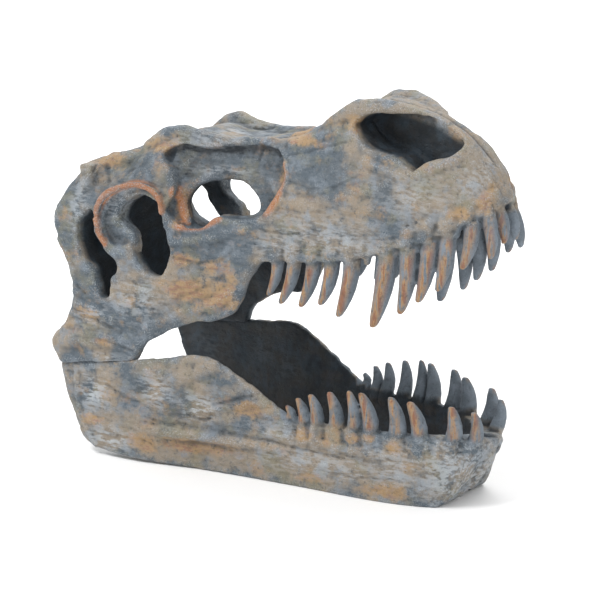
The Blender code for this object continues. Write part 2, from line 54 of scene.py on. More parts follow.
# Sizes of the casting.
SNOUT_TIP = 191.0
REAR_END = -188.0
JAW_TIP = 183.0
WALL = 10.0
ROOF_WALL = 11.0
VOXEL = 1.15  # of the finished skin
FUSE_VOXEL = 1.6  # of the bodies once their windows are cut
ROUGH_VOXEL = 2.0  # of the skull's bodies when they are first joined
RECESS_DEPTH = 9.0  # of the hollow around the antorbital window
RECESS_FLOOR = 9.0  # thickness of the ledge left inside that hollow
LEDGE_TOP = 7.0  # depth of the ledge's upper face before the hollow is cut into it
WINDOW_REACH = 45.0  # how deep the window goes through the ledge
CLEAR = 30.0  # how far outside the wall a recess's cutter starts
CROWN = 2.0  # how far the roof's middle stands above its edges
SECTION_FLOOR = 66.0  # height of the skull's underside before the mouth is cut
LIP = 2.0  # how far the gum stands out over the teeth's roots
FAR = 260.0  # beyond the object in any direction
LOOP_STEPS, PATH_STEPS = 6, 4  # points between two knots of an outline and of a line
TOOTH_BOW = 3.0  # how far a tooth's middle stands forward of the line from root to tip
TOOTH_SIDES = 16

# Where the frame's nodes meet.
X_MUZZLE, X_CHEEK, X_REAR, Z_ROOF, Z_NOSE, Z_CHEEK, Y_TEMPLE = 145, -40, -100, 246, 248, 212, 60
X_CHIN, X_RAMUS = 137, -12

# Paint as seen on a screen.
SLATE = "#4f5a63"
PALE_SLATE = "#76808a"
BONE_GREY = "#8f8373"
KHAKI = "#77745f"
OCHRE = "#a2855f"
RUST = "#8a5b3d"
RIM = "#a2683c"
TOOTH_SLATE = "#646e77"
TOOTH_OCHRE = "#a58054"
# Dark wash in the carving, which also stands for painted shade in creases and recesses.
WASH_AND_SHADE = "#20272d"
CHALK = "#b9bfc4"
# Painted shade: near-black paint, with a paler variant, where the inner faces lie in shade.
PAINTED_SHADE = "#0b1720"
PALE_PAINTED_SHADE = "#22303b"
FLOOR = "#fbfbfb"
FLOOR_SPECK = "#ffffff"

# Profile curves of the skull along X: (x, value) knots joined smoothly.
ROOF_KNOTS = [(-190, 232), (-150, 240), (-122, 244), (-110, 254), (-85, 265), (-50, 261), (-20, 264),
              (11, 271), (40, 283), (62, 296), (84, 302), (115, 298), (150, 284), (172, 266), (184, 249),
              (191, 236)]
ROOF_HALF_KNOTS = [(-190, 60), (-150, 54), (-110, 49), (-75, 44), (-20, 31), (11, 27), (80, 27), (100, 22),
                   (120, 15), (150, 13), (175, 11), (191, 4)]
SIDE_HALF_KNOTS = [(-190, 88), (-150, 88), (-115, 84), (-80, 76), (-45, 65), (0, 59), (50, 56), (97, 52),
                   (131, 47), (150, 41.5), (168, 34.5), (179, 27), (186, 19.5), (191, 10)]
GUM_KNOTS = [(-8, 174), (25, 177), (60, 180.5), (90, 187), (114, 196), (134, 202), (150, 209.5), (164, 216),
             (176, 224.5), (183, 228), (188, 234), (200, 240)]
REAR_EDGE_KNOTS = [(60, -175), (74, -178), (91, -187), (109, -172), (136, -163), (157, -166), (175, -176),
                   (196, -184), (212, -179), (230, -170), (243, -162), (260, -150)]  # (z, x)

# Profile curves of the lower jaw along X.
JAW_TOP_KNOTS = [(-180, 74), (-140, 80), (-110, 84.5), (-95, 86.5), (-77, 89.5), (-56, 94), (-42, 92),
                 (-26, 85), (-12, 77), (0, 70), (12, 62.5), (28, 54), (42, 51), (90, 52), (130, 52),
                 (160, 50), (184, 49)]
JAW_HALF_KNOTS = [(-180, 84), (-150, 88), (-110, 86), (-80, 79.5), (-50, 71), (0, 63.5), (48, 58), (93, 54),
                  (117, 50), (137, 44), (158, 34.5), (172, 23), (179, 13), (183, 4)]
JAW_BOTTOM_KNOTS = [(-180, 68), (-175, 50), (-166, 30), (-157, 13), (-140, 6), (-112, 3), (-80, 1.2),
                    (-40, -0.4), (148, -4.5), (154, -2), (161, 8), (169, 23), (177, 38), (183, 44)]
JAW_THICKNESS_KNOTS = [(-180, 10), (-150, 13), (-100, 14), (-40, 13), (20, 13), (60, 15), (110, 17),
                       (140, 22), (160, 34), (184, 50)]

# Windows through the right wall, as outlines seen from the side: (x, z) points joined smoothly.
NARIS = [(73, 286), (78, 279), (88, 271.5), (99, 267.5), (112, 264), (121, 258.5), (127, 255), (131, 260),
         (137, 263.5), (147, 266), (155, 272), (155, 278), (147, 284.5), (136, 289.5), (125, 293.5),
         (113, 295.5), (100, 296), (88, 295.5), (79, 292)]
ANTORBITAL_FOSSA = [(-90, 250), (-78, 258), (-58, 256), (-30, 260), (2, 260), (16, 249), (19, 236),
                    (8, 222), (-14, 209), (-32, 209), (-50, 200), (-66, 198), (-78, 209), (-73, 223),
                    (-76, 237)]
ANTORBITAL_WINDOW = [(-69, 214), (-66, 224), (-58, 235), (-44, 242), (-27, 244), (-9, 240), (3, 231),
                     (9, 220), (4, 212), (-8, 208), (-22, 206), (-38, 206), (-50, 197), (-62, 197)]
ORBIT_CUP = [(-133, 200), (-128, 214), (-114, 221), (-100, 224), (-88, 221), (-80, 212), (-84, 199),
             (-100, 184), (-118, 178), (-130, 184)]
ORBIT_RING = [(-81, 208), (-83, 219), (-91, 226), (-103, 228), (-116, 225), (-129, 218), (-137, 205),
              (-136, 191), (-130, 178)]
ORBIT_KNOB = [(-130, 176), (-121, 172), (-111, 172)]
ORBIT_WINDOW = [(-112, 214), (-99, 220), (-84, 214), (-80, 200), (-76, 183), (-75, 172), (-82, 156),
                (-93, 157), (-104, 171), (-107, 186), (-121, 197), (-121, 207)]
ANTORBITAL_INNER = [(-68, 214), (-67.5, 218), (-62.5, 226), (-55.5, 229.6), (-41.6, 232), (-27, 232.4),
                    (-17, 228), (-9, 220), (-8, 211), (-22, 207), (-38, 207), (-50, 198), (-62, 198)]
TEMPORAL_WINDOW = [(-147, 204), (-156, 194), (-157, 178), (-151, 163), (-143, 157), (-139, 146),
                   (-135, 134), (-128, 135), (-126, 147), (-120, 158), (-123, 168), (-132, 176),
                   (-139, 186), (-141, 197)]
LEFT_TEMPORAL_WINDOW = [(-149, 205), (-164, 197), (-170, 184), (-166, 171), (-148, 164), (-130, 166),
                        (-132, 176), (-139, 186), (-141, 197)]

# Teeth of the right side: (base x, base half-width y, tip x, tip y, tip z, root radius).
UPPER_TEETH = [
    (14, 54, 8, 57, 148.5, 5.0), (29, 53, 19, 56, 143.5, 5.8),
    (46, 52, 37, 55, 143, 6.2), (62, 51, 54.5, 54, 147, 6.4),
    (79, 49, 70.5, 53, 139.5, 7.0), (108, 47, 100, 50.5, 135, 8.4), (125, 43.5, 122.5, 47.5, 148, 7.6),
    (141, 39, 136, 44, 158, 7.2), (154, 33.5, 151, 41, 168, 6.8), (170, 27, 168.5, 35.5, 186, 6.4),
    (178, 17, 186, 23.5, 194, 6.0), (181.5, 6.4, 189, 9, 203, 5.6),
]
LOWER_TEETH = [
    (28, 54, 25, 57, 62.5, 4.2), (39, 53.5, 35.5, 57, 70.5, 5.2), (50, 53, 47.5, 57, 75.5, 5.8),
    (67, 52, 64.5, 56, 80, 6.2), (82.5, 50, 81, 54, 83, 5.8), (97, 48, 90.5, 52, 82.5, 6.6),
    (118, 44, 115, 48, 82, 7.0), (135, 37.5, 128, 42, 79, 6.8), (158, 26, 158.5, 31.5, 77.5, 6.8),
    (171, 15, 172.5, 21.5, 73, 5.8),
]


# Curves and small tools -----------------------------------------------------------------------

def through(knots):
    """A function of x that runs smoothly through the knots, without overshoot, and is level beyond them."""
    xs = [k[0] for k in knots]
    ys = [k[1] for k in knots]
    slopes = [(ys[i + 1] - ys[i]) / (xs[i + 1] - xs[i]) for i in range(len(xs) - 1)]
    tangents = [slopes[0]]
    for before, after in zip(slopes, slopes[1:]):
        tangents.append(0.0 if before * after <= 0 else 2 * before * after / (before + after))
    tangents.append(slopes[-1])

    def value(x):
        if x <= xs[0]:
            return ys[0]
        if x >= xs[-1]:
            return ys[-1]
        i = max(j for j in range(len(xs) - 1) if xs[j] <= x)
        width = xs[i + 1] - xs[i]
        t = (x - xs[i]) / width
        rise = t * t * (3 - 2 * t)
        return (ys[i] * (1 - rise) + ys[i + 1] * rise
                + width * t * (1 - t) * ((1 - t) * tangents[i] - t * tangents[i + 1]))

    return value


roof_z = through(ROOF_KNOTS)
roof_half = through(ROOF_HALF_KNOTS)
side_half = through(SIDE_HALF_KNOTS)
gum_z = through(GUM_KNOTS)
rear_edge_x = through(REAR_EDGE_KNOTS)
jaw_top_z = through(JAW_TOP_KNOTS)
jaw_half = through(JAW_HALF_KNOTS)
jaw_bottom_z = through(JAW_BOTTOM_KNOTS)
jaw_thickness = through(JAW_THICKNESS_KNOTS)


def between_knots(p0, p1, p2, p3, steps):
    """Points of a Catmull-Rom curve from p1 on, up to p2 but without it."""
    return [tuple(0.5 * (2 * p1 + (p2 - p0) * t + (2 * p0 - 5 * p1 + 4 * p2 - p3) * t * t
                         + (3 * p1 - p0 - 3 * p2 + p3) * t ** 3))
            for t in (step / steps for step in range(steps))]


def smooth_loop(points):
    """A closed, smooth loop through the points."""
    knots = [Vector(p) for p in points]
    made = []
    for i in range(len(knots)):
        made += between_knots(*(knots[(i + k) % len(knots)] for k in (-1, 0, 1, 2)), LOOP_STEPS)
    return made


def smooth_path(points):
    """An open, smooth line through the points."""
    knots = [Vector(p) for p in (points[0], *points, points[-1])]
    made = []
    for i in range(len(points) - 1):
        made += between_knots(*knots[i:i + 4], PATH_STEPS)
    return made + [tuple(points[-1])]


def deselect_all():
    for obj in bpy.context.selected_objects:
        obj.select_set(False)


def make_active(obj):
    deselect_all()
    obj.select_set(True)
    bpy.context.view_layer.objects.active = obj


def add_object(name, mesh_bm):
    """Puts a bmesh in the scene as an object, with its faces pointing out."""
    bmesh.ops.recalc_face_normals(mesh_bm, faces=mesh_bm.faces)
    if mesh_bm.calc_volume(signed=True) < 0:
        bmesh.ops.reverse_faces(mesh_bm, faces=mesh_bm.faces)
    mesh = bpy.data.meshes.new(name)
    mesh_bm.to_mesh(mesh)
    mesh_bm.free()
    made = bpy.data.objects.new(name, mesh)
    bpy.context.collection.objects.link(made)
    return made


def loft(name, loops):
    """A closed solid through loops of equal length, capped at both ends. Loop points are in millimetres."""
    mesh_bm = bmesh.new()
    rings = [[mesh_bm.verts.new(Vector(p) * MM) for p in loop] for loop in loops]
    for ring, after in zip(rings, rings[1:]):
        for i in range(len(ring)):
            j = (i + 1) % len(ring)
            mesh_bm.faces.new((ring[i], ring[j], after[j], after[i]))
    bmesh.ops.triangulate(mesh_bm, faces=mesh_bm.faces)
    mesh_bm.faces.new(rings[0])
    mesh_bm.faces.new(rings[-1])
    return add_object(name, mesh_bm)


def side_plate(name, outline, y_low, y_high):
    """An (x, z) outline made a solid between two y planes."""
    return loft(name, [[(x, y, z) for x, z in outline] for y in (y_low, y_high)])


def ball(name, centre, radii):
    """An egg-shaped lump or hollow."""
    deselect_all()
    bpy.ops.mesh.primitive_uv_sphere_add(segments=32, ring_count=18, radius=MM)
    made = bpy.context.object
    made.name = name
    made.data.transform(Matrix.Translation(Vector(centre) * MM) @ Matrix.Diagonal((*radii, 1.0)))
    return made


def tube(name, path, sides=14):
    """A round rod along (x, y, z, radius) points, with rounded ends."""
    points = [Vector(p[:3]) for p in path]
    loops = []
    for i, p in enumerate(points):
        ahead = points[min(i + 1, len(points) - 1)] - points[max(i - 1, 0)]
        turn = ahead.to_track_quat("Z", "Y")
        for share in ((0.5, 0.93, 1.0) if i in (0, len(points) - 1) else (1.0,)):
            radius = path[i][3] * share
            reach = path[i][3] * math.sqrt(1 - share * share) * (-1 if i == 0 else 1)
            ring = [p + turn @ Vector((radius * math.cos(a), radius * math.sin(a), reach))
                    for a in (math.tau * k / sides for k in range(sides))]
            loops.append((i, -share if i else share, ring))
    loops.sort(key=lambda item: (item[0], item[1]))
    return loft(name, [ring for _, _, ring in loops])


def both_sides(make, name, *args):
    """Makes a right-hand piece and its mirror image."""
    right = make(name, *args)
    left = right.copy()
    left.data = right.data.copy()
    left.data.transform(Matrix.Scale(-1, 4, (0, 1, 0)))
    left.data.flip_normals()
    bpy.context.collection.objects.link(left)
    return [right, left]


def join(name, pieces):
    """One object from several closed pieces that overlap."""
    deselect_all()
    for piece in pieces:
        piece.select_set(True)
    bpy.context.view_layer.objects.active = pieces[0]
    bpy.ops.object.join()
    made = bpy.context.object
    made.name = name
    return made


def apply_modifier(obj, modifier):
    make_active(obj)
    bpy.ops.object.modifier_apply(modifier=modifier.name)


def cut(obj, other):
    """Cuts one closed body out of another. This solver stays quick on fine skins, and needs both closed."""
    boolean = obj.modifiers.new("Cut", "BOOLEAN")
    boolean.operation = "DIFFERENCE"
    boolean.solver = "MANIFOLD"
    boolean.object = other
    apply_modifier(obj, boolean)
    bpy.data.objects.remove(other)
    return obj


def fuse(obj, voxel):
    """One even skin over everything that overlaps."""
    remesh = obj.modifiers.new("Fuse", "REMESH")
    remesh.mode = "VOXEL"
    remesh.voxel_size = voxel * MM
    apply_modifier(obj, remesh)
    return obj


def soften(obj, rounds):
    smooth = obj.modifiers.new("Soften", "SMOOTH")
    smooth.factor = 0.5
    smooth.iterations = rounds
    apply_modifier(obj, smooth)
    return obj


# The skull ------------------------------------------------------------------------------------

def widest_z(x):
    """Height below which the skull's sides are upright."""
    return min(roof_z(x) - 60, 200.0)


def shoulder(share):
    """How far out the shoulder has come, from 0 at the roof's edge to 1 where the side is upright."""
    return math.sqrt(1 - (1 - share) ** 2) ** 1.45


def wall_y(x, z):
    """Half-width of the skull's outer face at a place on its side, shoulder included."""
    top, widest = roof_z(x) - CROWN, widest_z(x)
    share = min(1.0, max(0.0, (top - z) / (top - widest)))
    return roof_half(x) + (side_half(x) - roof_half(x)) * shoulder(share)


def skull_section(x):
    """A closed (y, z) section of the skull: crowned roof, sloped shoulders and a flat floor."""
    top, edge, side, widest, steps = roof_z(x), roof_half(x), side_half(x), widest_z(x), 18
    half = [(edge * k / 6, top - CROWN * (k / 6) ** 2) for k in range(7)]
    for k in range(1, steps + 1):
        share = 1 - math.cos(math.pi / 2 * k / steps)
        z = (top - CROWN) + (widest - top + CROWN) * share
        half.append((edge + (side - edge) * shoulder(share), z))
    half.append((side, (widest + SECTION_FLOOR) / 2))
    half.append((side, SECTION_FLOOR))
    return half + [(-y, z) for y, z in reversed(half[1:])]


def skull_body():
    xs = [REAR_END + 5 * i for i in range(67)]
    xs += [150, 155, 160, 165, 170, 175, 179, 182, 185, 188, SNOUT_TIP]
    return loft("skull_body", [[(x, y, z) for y, z in skull_section(x)] for x in xs])


def hollow(name, x_from, x_to, wall, ceiling, floor):
    """A cutter with an arched roof inside the skull's walls; wall and ceiling are functions of x."""
    loops = []
    steps = 20
    for i in range(steps + 1):
        x = x_from + (x_to - x_from) * i / steps
        half, rise = side_half(x) - wall(x), ceiling(x) - floor
        arch = []
        for k in range(25):
            a = math.pi * k / 24
            y = half * math.copysign(abs(math.cos(a)) ** 0.62, math.cos(a))
            arch.append((x, y, floor + 20 + (rise - 20) * math.sin(a) ** 0.62))
        loops.append([(x, half + 0.5, floor)] + arch + [(x, -half - 0.5, floor)])
    return loft(name, loops)


def mouth_gap():
    """The space between the jaws, cut right through from side to side."""
    cheek = [(-12, 158), (-18, 140), (-25, 129), (-41, 121.5), (-57, 120), (-74, 113), (-96, 101),
             (-101, 94), (-106, 83.5)]
    line = [(200 - 8 * i, gum_z(200 - 8 * i)) for i in range(26)] + cheek
    line += [(-173, 74), (-220, 68), (-220, 40), (220, 40)]
    return side_plate("mouth_gap", line, -FAR, FAR)


def rear_cut():
    """All that lies behind the skull's rear edge."""
    edge = [(rear_edge_x(z), z) for z in range(56, 262, 4)]
    return side_plate("rear_cut", [(-FAR, 40)] + edge + [(-150, 290), (-FAR, 290)], -FAR, FAR)


def window(name, outline, y_outer, y_inner):
    return both_sides(side_plate, name, smooth_loop(outline), -y_outer, -y_inner)


def nose_wall(x):
    """Thickness of the wall beside the nose's hollow, which follows the narrower roof."""
    return side_half(x) - roof_half(x) - 2


def skull_ridges():
    """Raised bone along the brow, the nose, the temporal bar, the eye and the jaw joint, on both sides."""
    ridges = []
    ridges += both_sides(tube, "brow", [(-112, -46, 251, 8), (-98, -42, 261.5, 8), (-85, -38, 265, 8),
                                        (-67, -36, 261, 7), (-40, -34, 259.5, 6), (-5, -30, 264, 5)])
    ridges += both_sides(tube, "nasal_hump", [(40, -26, 278, 5), (58, -28, 289, 7), (72, -28, 297, 8),
                                              (88, -27, 299, 8), (104, -20, 297, 6.5), (124, -11, 291.5, 5)])
    ridges += both_sides(tube, "temporal_bar", [(-106, -50, 245, 8), (-125, -48, 240, 7),
                                                (-145, -51, 239, 7), (-157, -59, 231, 7),
                                                (-164, -69, 216, 7), (-171, -77, 200, 7)])
    ridges += both_sides(tube, "joint_upper", [(-177, -81, 94, 9), (-150, -82, 98, 10), (-120, -79, 100, 9)])
    ridges += both_sides(tube, "joint_lower", [(-171, -80, 84, 7), (-148, -81, 88, 8), (-120, -78, 92, 7)])
    return ridges


def eye_ring():
    """The rolled lip around the back of the eye socket, running down to a knob."""
    ring = [(x, 1.2 - side_half(x), z, 2.5) for x, z in smooth_path(ORBIT_RING)]
    knob = [(x, 4.0 - side_half(x), z, radius) for (x, z), radius in zip(ORBIT_KNOB, (4.0, 6.5, 5.0))]
    return both_sides(tube, "eye_ring", ring) + both_sides(tube, "eye_knob", knob)


def recess(name, outline, depth_from, depth_to):
    """A slab beside each wall that keeps to the wall's own bend, between two depths below its face."""
    return both_sides(loft, name, [[(x, depth - wall_y(x, z), z) for x, z in smooth_loop(outline)]
                                   for depth in (depth_from, depth_to)])


def septum():
    """The wall between the nostrils, with a round socket and a passage behind it in each face."""
    outline = [(58, 236), (70, 262), (80, 290), (96, 297), (128, 293), (150, 284), (166, 262), (172, 236)]
    wall = side_plate("septum", outline, -5.5, 5.5)
    for hole in both_sides(ball, "socket", (125, -12, 272), (12.5, 9.5, 12.5)):
        cut(wall, hole)
    for hole in both_sides(ball, "passage", (98, -11, 268), (11, 8.5, 9)):
        cut(wall, hole)
    return wall


def gum_webs():
    """Small webs of gum between the roots of the big upper teeth."""
    webs = []
    for i in range(5, len(UPPER_TEETH)):
        x = (UPPER_TEETH[i][0] + UPPER_TEETH[i - 1][0]) / 2
        inset = 6.0 if i < 10 else 9.0
        y = inset - side_half(x)
        webs += both_sides(tube, f"web_{i}", [(x, y, gum_z(x) + 6, 4.0), (x - 1, y, gum_z(x) - 4, 3.0)])
    return webs


def occiput():
    """The back wall inside the rear edges, with the neck joint's ball below its opening."""
    outline = [(-74, 238), (74, 238), (60, 208), (57, 150), (54, 128), (30, 120), (-30, 120), (-60, 128),
               (-80, 150), (-80, 200)]
    plate = loft("back_wall", [[(x, y, z) for y, z in outline] for x in (-164, -152)])
    condyle = ball("neck_ball", (-168, 0, 158), (12, 11, 10))
    crest = tube("nape_crest", [(-157, -60, 233, 7), (-159, -30, 233, 8), (-160, 0, 233, 8),
                                (-159, 30, 233, 8), (-157, 60, 233, 7)])
    return [plate, condyle, crest]


def tooth(name, root, tip, radius):
    """A tooth that tapers to a blunt tip and bows forward between its root and its tip."""
    root, tip = Vector(root), Vector(tip)
    length = (tip - root).length
    shares = ((-0.15, 0.95), (0.1, 1.0), (0.3, 0.95), (0.5, 0.86), (0.68, 0.73), (0.84, 0.56), (0.94, 0.42))
    path = []
    for t, share in shares:
        bowed = Vector((TOOTH_BOW * math.sin(math.pi * max(0.0, t)), 0, 0))
        path.append((*root.lerp(tip, t) + bowed, radius * share))
    path.append((*root.lerp(tip, 1.0 - radius * 0.3 / length), radius * 0.34))
    return tube(name, path, TOOTH_SIDES)


def under_lip(y, wall, radius):
    """A tooth's root set in far enough for its crown to come out under the lip of the gum."""
    return min(y, wall - LIP - 0.9 * radius)


def upper_tooth_ends():
    """(root, tip, radius) of each upper tooth of the right side."""
    return [((x, -under_lip(y, wall_y(x, gum_z(x) + 5), radius), gum_z(x) + 2),
             (tip_x, -tip_y, tip_z), radius) for x, y, tip_x, tip_y, tip_z, radius in UPPER_TEETH]


def lower_tooth_ends():
    """(root, tip, radius) of each lower tooth of the right side."""
    return [((x, -under_lip(y, jaw_half(x), radius), jaw_top_z(x) - 2), (tip_x, -tip_y, tip_z), radius)
            for x, y, tip_x, tip_y, tip_z, radius in LOWER_TEETH]


def teeth(name, ends):
    made = []
    for i, (root, tip, radius) in enumerate(ends):
        made += both_sides(tooth, f"{name}_{i}", root, tip, radius)
    return made


def build_skull():
    skull = skull_body()
    for cutter in [mouth_gap(), rear_cut(),
                   hollow("chamber", -151, 30, lambda x: WALL, lambda x: roof_z(x) - ROOF_WALL, 42),
                   hollow("open_back", -222, -163, lambda x: WALL, lambda x: 236, 41),
                   hollow("palate", 10, 172, lambda x: 15, lambda x: gum_z(x) + 16, 100),
                   hollow("low_back", -221, -140, lambda x: WALL, lambda x: 122, 40),
                   hollow("nose", 66, 166, nose_wall, lambda x: roof_z(x) - 8, 232)]:
        cut(skull, cutter)
    ledge = recess("ledge", ANTORBITAL_FOSSA, LEDGE_TOP, RECESS_DEPTH + RECESS_FLOOR)
    skull = fuse(join("skull", [skull, septum()] + ledge + occiput() + skull_ridges()), ROUGH_VOXEL)
    cutters = window("naris", NARIS, 60, 8)
    cutters += recess("antorbital_fossa", ANTORBITAL_FOSSA, -CLEAR, RECESS_DEPTH)
    cutters += recess("antorbital_window", ANTORBITAL_WINDOW, -CLEAR, RECESS_DEPTH + 3)
    cutters += recess("antorbital_inner", ANTORBITAL_INNER, 0.0, WINDOW_REACH)
    cutters += window("orbit_cup", ORBIT_CUP, 100, 78)
    cutters += both_sides(ball, "orbit_bowl", (-107, -93, 202), (26, 20, 24))
    cutters += window("orbit_window", ORBIT_WINDOW, 100, 40)
    cutters += window("temporal_window", TEMPORAL_WINDOW, 110, 60)
    cutters += [side_plate("left_temporal_window", smooth_loop(LEFT_TEMPORAL_WINDOW), 57, 110)]
    cutters += both_sides(ball, "upper_temporal", (-133, -28, 252), (19, 15, 26))
    cutters += [ball("neck_opening", (-166, 0, 178), (8, 9, 9))]
    for cutter in cutters:
        cut(skull, cutter)
    soften(fuse(skull, FUSE_VOXEL), 4)
    parts = [skull] + eye_ring() + gum_webs() + teeth("upper_tooth", upper_tooth_ends())
    skull = fuse(join("skull", parts), VOXEL)
    return soften(skull, 2)


# The lower jaw --------------------------------------------------------------------------------

def jaw_section(x, side):
    """The section of one half of the lower jaw: bevelled below, ridged at a third of its height."""
    top, bottom, outer = jaw_top_z(x), jaw_bottom_z(x), jaw_half(x)
    inner = max(-2.0, outer - jaw_thickness(x))
    height = top - bottom
    lip = min(3.0, (outer - inner) / 4)
    tuck = 1.5 + max(0.0, x - 147) * 0.3
    outline = [(inner + 1.5 * lip, top), (outer - lip, top), (outer - 0.3 * lip, top - 0.12 * height),
               (outer, top - 0.45 * height), (outer, bottom + 0.34 * height),
               (outer - 0.5 * tuck, bottom + 0.12 * height), (max(inner + 2, outer - tuck), bottom),
               (inner, bottom), (inner, bottom + 0.4 * height), (inner + lip, top - 0.2 * height)]
    return [(side * y, z) for y, z in outline]


def build_jaw():
    xs = [-180, -176, -171, -165, -158, -150, -140, -128] + [-115 + 10 * i for i in range(25)]
    xs += [134, 142, 149, 156, 162, 167, 171, 175, 178, 181, JAW_TIP]
    pieces = [loft(f"ramus_{side}", [[(x, y, z) for y, z in jaw_section(x, side)] for x in xs])
              for side in (-1, 1)]
    pieces += both_sides(tube, "jaw_ridge", [(-158, -82, 37, 5), (-120, -83, 32, 5), (-80, -78, 30, 5),
                                             (-30, -67, 29, 4), (20, -60, 27, 3)])
    pieces.append(tube("symphysis", [(140, 0, 6, 7), (158, 0, 10, 7), (170, 0, 26, 6), (176, 0, 42, 5)]))
    jaw = soften(fuse(join("jaw", pieces), FUSE_VOXEL), 5)
    jaw = fuse(join("jaw", [jaw] + teeth("lower_tooth", lower_tooth_ends())), VOXEL)
    return soften(jaw, 2)


# Pieces ---------------------------------------------------------------------------------------

TOP, SKULL_LOW, JAW_LOW = FAR + 80, 40, -50  # heights that bound the cells

# (node, lowest corner, highest corner); a triangle belongs to the first cell that holds its centre.
SKULL_CELLS = [
    ("premaxilla", (X_MUZZLE, -FAR, SKULL_LOW), (FAR, FAR, TOP)),
    ("nasal", (X_CHEEK, -FAR, Z_NOSE), (X_MUZZLE, FAR, TOP)),
    ("maxilla_right", (X_CHEEK, -FAR, SKULL_LOW), (X_MUZZLE, 0, Z_NOSE)),
    ("maxilla_left", (X_CHEEK, 0, SKULL_LOW), (X_MUZZLE, FAR, Z_NOSE)),
    ("brow", (X_REAR, -FAR, Z_ROOF), (X_CHEEK, FAR, TOP)),
    ("lacrimal_right", (X_REAR, -FAR, Z_CHEEK), (X_CHEEK, 0, Z_ROOF)),
    ("lacrimal_left", (X_REAR, 0, Z_CHEEK), (X_CHEEK, FAR, Z_ROOF)),
    ("cheek_right", (X_REAR, -FAR, SKULL_LOW), (X_CHEEK, 0, Z_CHEEK)),
    ("cheek_left", (X_REAR, 0, SKULL_LOW), (X_CHEEK, FAR, Z_CHEEK)),
    ("braincase", (-FAR, -Y_TEMPLE, SKULL_LOW), (X_REAR, Y_TEMPLE, TOP)),
    ("temple_right", (-FAR, -FAR, SKULL_LOW), (X_REAR, -Y_TEMPLE, TOP)),
    ("temple_left", (-FAR, Y_TEMPLE, SKULL_LOW), (X_REAR, FAR, TOP)),
]
JAW_CELLS = [
    ("chin", (X_CHIN, -FAR, JAW_LOW), (FAR, FAR, FAR)),
    ("dentary_right", (X_RAMUS, -FAR, JAW_LOW), (X_CHIN, 0, FAR)),
    ("dentary_left", (X_RAMUS, 0, JAW_LOW), (X_CHIN, FAR, FAR)),
    ("ramus_right", (-FAR, -FAR, JAW_LOW), (X_RAMUS, 0, FAR)),
    ("ramus_left", (-FAR, 0, JAW_LOW), (X_RAMUS, FAR, FAR)),
]


def cut_planes(mesh_bm, cells):
    """Cuts the skin along every plane that two cells share, without taking anything away."""
    planes = {(axis, corner[axis]) for _, low, high in cells for corner in (low, high) for axis in range(3)
              if abs(corner[axis]) < FAR}
    for axis, place in sorted(planes):
        normal = [0, 0, 0]
        normal[axis] = 1
        geom = mesh_bm.verts[:] + mesh_bm.edges[:] + mesh_bm.faces[:]
        bmesh.ops.bisect_plane(mesh_bm, geom=geom, dist=1e-6, plane_co=[n * place * MM for n in normal],
                               plane_no=normal)


TO_FRAME = (Matrix.Translation(Vector(PROFILE_TO_FRAME) * MM)
            @ Matrix.Rotation(math.radians(-REST_TILT), 4, "Y"))


def divide(whole, cells, material):
    """Divides a skin among the frame's nodes. Edges meet exactly and keep the whole skin's smooth shading."""
    mesh_bm = bmesh.new()
    mesh_bm.from_mesh(whole.data)
    cut_planes(mesh_bm, cells)
    bmesh.ops.triangulate(mesh_bm, faces=mesh_bm.faces)
    mesh_bm.to_mesh(whole.data)
    mesh_bm.free()
    mesh = whole.data
    count = len(mesh.polygons)
    centres = np.empty(count * 3)
    mesh.polygons.foreach_get("center", centres)
    centres = centres.reshape(-1, 3) / MM
    taken = np.zeros(count, bool)
    pieces = []
    for name, low, high in cells:
        inside = ~taken & np.all((centres > low) & (centres < high), axis=1)
        taken |= inside
        pieces.append(part_of(whole, name, inside, material))
    bpy.data.objects.remove(whole)
    return pieces


def part_of(whole, node, inside, material):
    """A piece made of the marked triangles of the whole skin, riding on the root in its node's place."""
    mesh = whole.data
    corners = np.empty(len(mesh.loops), np.int64)
    mesh.loops.foreach_get("vertex_index", corners)
    triangles = corners.reshape(-1, 3)[inside]
    used, flat = np.unique(triangles, return_inverse=True)
    places = np.empty(len(mesh.vertices) * 3)
    mesh.vertices.foreach_get("co", places)
    normals = np.empty(len(mesh.vertices) * 3)
    mesh.vertex_normals.foreach_get("vector", normals)
    made = bpy.data.meshes.new(node + "_cast")
    made.from_pydata(places.reshape(-1, 3)[used].tolist(), [], flat.reshape(-1, 3).tolist())
    for attribute in mesh.attributes:
        if attribute.domain == "POINT" and attribute.data_type == "FLOAT":
            values = np.empty(len(mesh.vertices), np.float32)
            attribute.data.foreach_get("value", values)
            copied = made.attributes.new(attribute.name, "FLOAT", "POINT")
            copied.data.foreach_set("value", values[used])
    made.shade_smooth()
    made.normals_split_custom_set_from_vertices(normals.reshape(-1, 3)[used].tolist())
    made.materials.append(material)
    made.transform(TO_FRAME)
    obj = bpy.data.objects.new(node + "_cast", made)
    bpy.context.collection.objects.link(obj)
    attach(obj, "root")
    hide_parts(node)
    return obj


# Sculpting ------------------------------------------------------------------------------------

